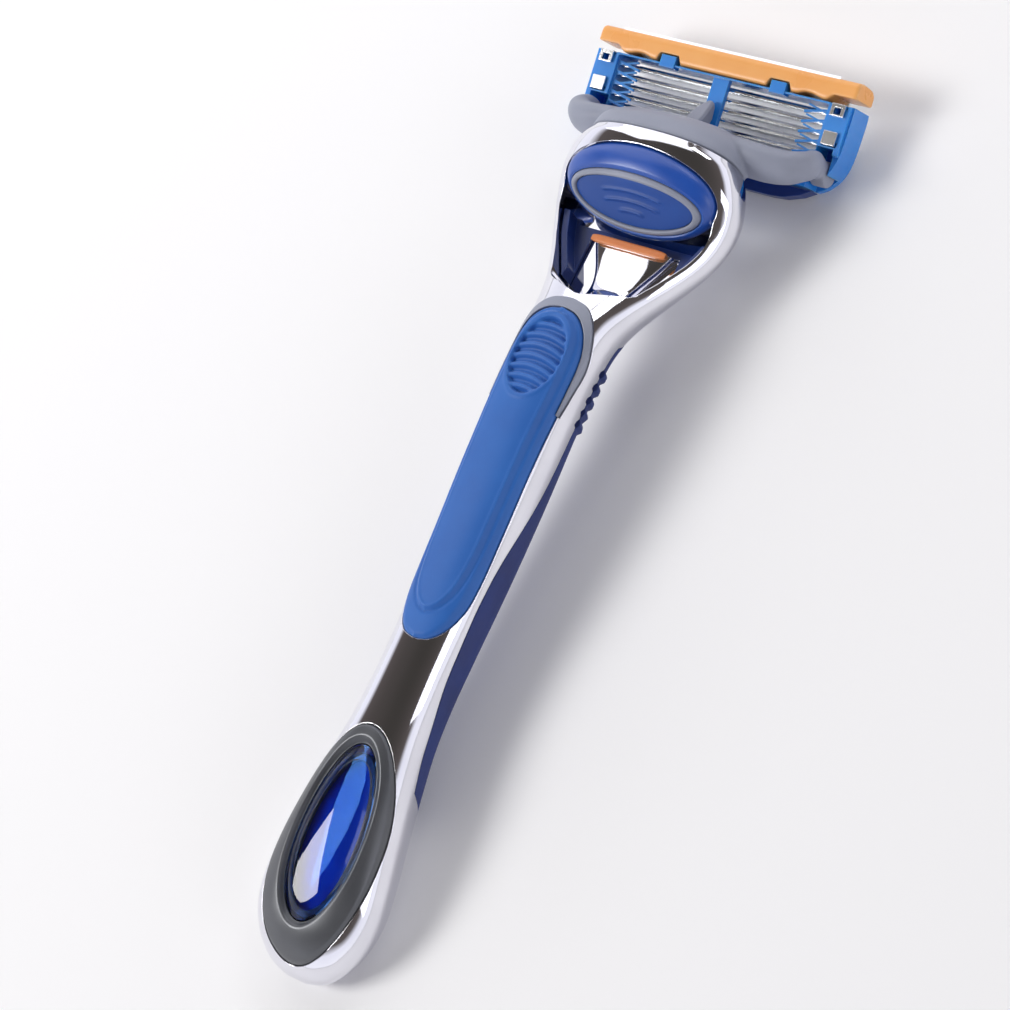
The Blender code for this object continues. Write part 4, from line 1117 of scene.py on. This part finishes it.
clear_toned = moulded(
    "clear_toned_blue", (0.020, 0.210, 0.66), (0.030, 0.260, 0.74), (0.12, 0.45, 0.90),
    (0.20, 0.28), grain_scale=6000.0, depth=3e-6, radius=0.00018)
tuned(
    clear_toned, subsurface_weight=0.35, subsurface_radius=(0.2, 0.6, 1.0),
    subsurface_scale=0.0012, coat_weight=0.3, coat_roughness=0.08)
covered(housing, clear_toned)

# ------------------------ clips
# Soft aluminium straps wrapped round each end of the cartridge.  They lock the blades in and
# their ends are folded flat on the back; the upper end has a small square opening.
aluminium = plated(
    "clip_aluminium", (0.88, 0.89, 0.91), (0.80, 0.81, 0.83), (0.16, 0.26), 0.00012, 3e-7)
for side, word in ((1, "right"), (-1, "left")):
    near, far = side * CLIP_X[0], side * CLIP_X[1]
    clip = tray_box("strap_" + word, (near, CLIP_LOWER, -5.75), (far, CLIP_UPPER, -5.35))
    folded = [
        ((near, CLIP_LOWER, -5.75), (far, CLIP_LOWER + STRAP, 0.5)),
        ((near, CLIP_UPPER - STRAP, -5.75), (far, CLIP_UPPER, 0.5)),
        ((near, CLIP_LOWER, 0.12), (far, CLIP_LOWER + 1.9, 0.5)),
        ((near, CLIP_UPPER - 1.7, 0.12), (far, CLIP_UPPER, 0.5)),
    ]
    legs = [("join", tray_box("leg", low, high)) for low, high in folded]
    legs.append(("cut", strap_opening("opening", side, 0.0)))
    work(clip, *legs)
    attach(clip, "cartridge")
    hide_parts("clip_" + word)
    covered(clip, aluminium)

# ------------------------ trimmer cap
# Orange plastic cap along the upper edge, notched round the two housing tabs.  Its back face
# narrows beside the clips, and a slot along its outer edge holds the trimmer blade.
CAP_HALF = 21.0
CAP_COLUMNS = 72
CUT_LIMIT = 5.9                  # the cuts in the lower edge fade out here
CUT_FADE = 1.15
CAP_MIDDLE = (6.4, -2.4)
CAP_PROFILE = (
    (4.75, -5.1), (7.2, -5.1), (7.9, -4.0), (8.1, -1.4), (7.95, -0.1), (7.5, 0.3), (4.75, 0.3),
)


def rounded_loop(points, count, passes):
    """Even points round a closed outline, with its corners softened."""
    sides = list(zip(points, points[1:] + points[:1]))
    lengths = [math.dist(a, b) for a, b in sides]
    total = sum(lengths)
    loop = []
    for i in range(count):
        left = total * i / count
        index = 0
        while left > lengths[index]:
            left -= lengths[index]
            index += 1
        (ax, ay), (bx, by) = sides[index]
        share = left / lengths[index]
        loop.append((ax + (bx - ax) * share, ay + (by - ay) * share))
    for _ in range(passes):
        loop = [
            ((loop[i - 1][0] + 2 * loop[i][0] + loop[(i + 1) % count][0]) / 4,
             (loop[i - 1][1] + 2 * loop[i][1] + loop[(i + 1) % count][1]) / 4)
            for i in range(count)
        ]
    return loop


cap_loop = rounded_loop(CAP_PROFILE, CAP_COLUMNS, 3)


def cap_lower_edge(x):
    """How far the lower edge is cut back: notches at the tabs and steps beside the clips."""
    notch = 1.25 * (1 - eased(abs(abs(x) - TAB_X), 1.4, 2.1))
    wave = 0.45 * eased(abs(x), 11.6, 13.4) * (1 - eased(abs(x), 13.8, 16.2))
    step = 0.95 * eased(abs(x), 16.4, 17.8)
    return max(notch, wave, step)


def cap_place(u, t):
    """Outside of the cap, its ends rolled in."""
    x = CAP_HALF * (2 * t - 1)
    y, z = cap_loop[round(u * CAP_COLUMNS) % CAP_COLUMNS]
    y += max(0.0, CUT_LIMIT - y) / CUT_FADE * cap_lower_edge(x) * 0.95
    roll = eased(abs(x), CAP_HALF - 0.45, CAP_HALF)
    shrink = 1 - 0.09 * roll * roll
    middle_y, middle_z = CAP_MIDDLE
    return cartridge_turn @ Vector((
        x, middle_y + (y - middle_y) * shrink, middle_z + (z - middle_z) * shrink))


cap = close_and_finish("orange_cap", shaped_grid(CAP_COLUMNS, 340, cap_place), sharp=60.0)
blade_slot = prism(
    "blade_slot", ((7.45, -0.62), (9.5, -0.95), (9.5, -0.62), (7.45, -0.32)), -17.8, 17.8,
    cartridge_turn @ ACROSS)
work(cap, ("cut", blade_slot))
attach(cap, "cartridge")
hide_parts("trimmer_cap")
cap_orange = moulded(
    "cap_orange", (0.86, 0.37, 0.095), (0.90, 0.43, 0.125), (0.95, 0.60, 0.28), (0.25, 0.33),
    grain_scale=6000.0, depth=3e-6, radius=0.0003)
covered(cap, cap_orange)

# ------------------------ blades and supports
# Five ground steel blades, each welded to a bent strip, and the trimmer blade.  All of them
# are bright steel with fine grinding lines.
blade_steel = plated(
    "blade_steel", (0.84, 0.85, 0.87), (0.76, 0.77, 0.80), (0.12, 0.22), 0.00003, 4e-7)
steel_nodes = ["trimmer_blade"]
for i in range(BLADE_COUNT):
    steel_nodes += ["blade_%d" % (i + 1), "blade_support_%d" % (i + 1)]
for node in steel_nodes:
    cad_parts[node].data.materials[0] = blade_steel

# ------------------------ guard and strip
# The shaving side: a navy guard bar that also shields the arms, soft navy fins in front of the
# blades, and the pale waxy strip behind them.
strip_wax = moulded(
    "pale_strip", (0.62, 0.76, 0.80), (0.70, 0.82, 0.85), (0.85, 0.92, 0.94), (0.45, 0.60),
    grain_scale=2500.0, depth=1.2e-5)
tuned(strip_wax, subsurface_weight=0.2)
for node, finish_material in (
    ("guard_bar", navy_plastic), ("guard_fins", navy_rubber), ("lubricating_strip", strip_wax),
):
    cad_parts[node].data.materials[0] = finish_material
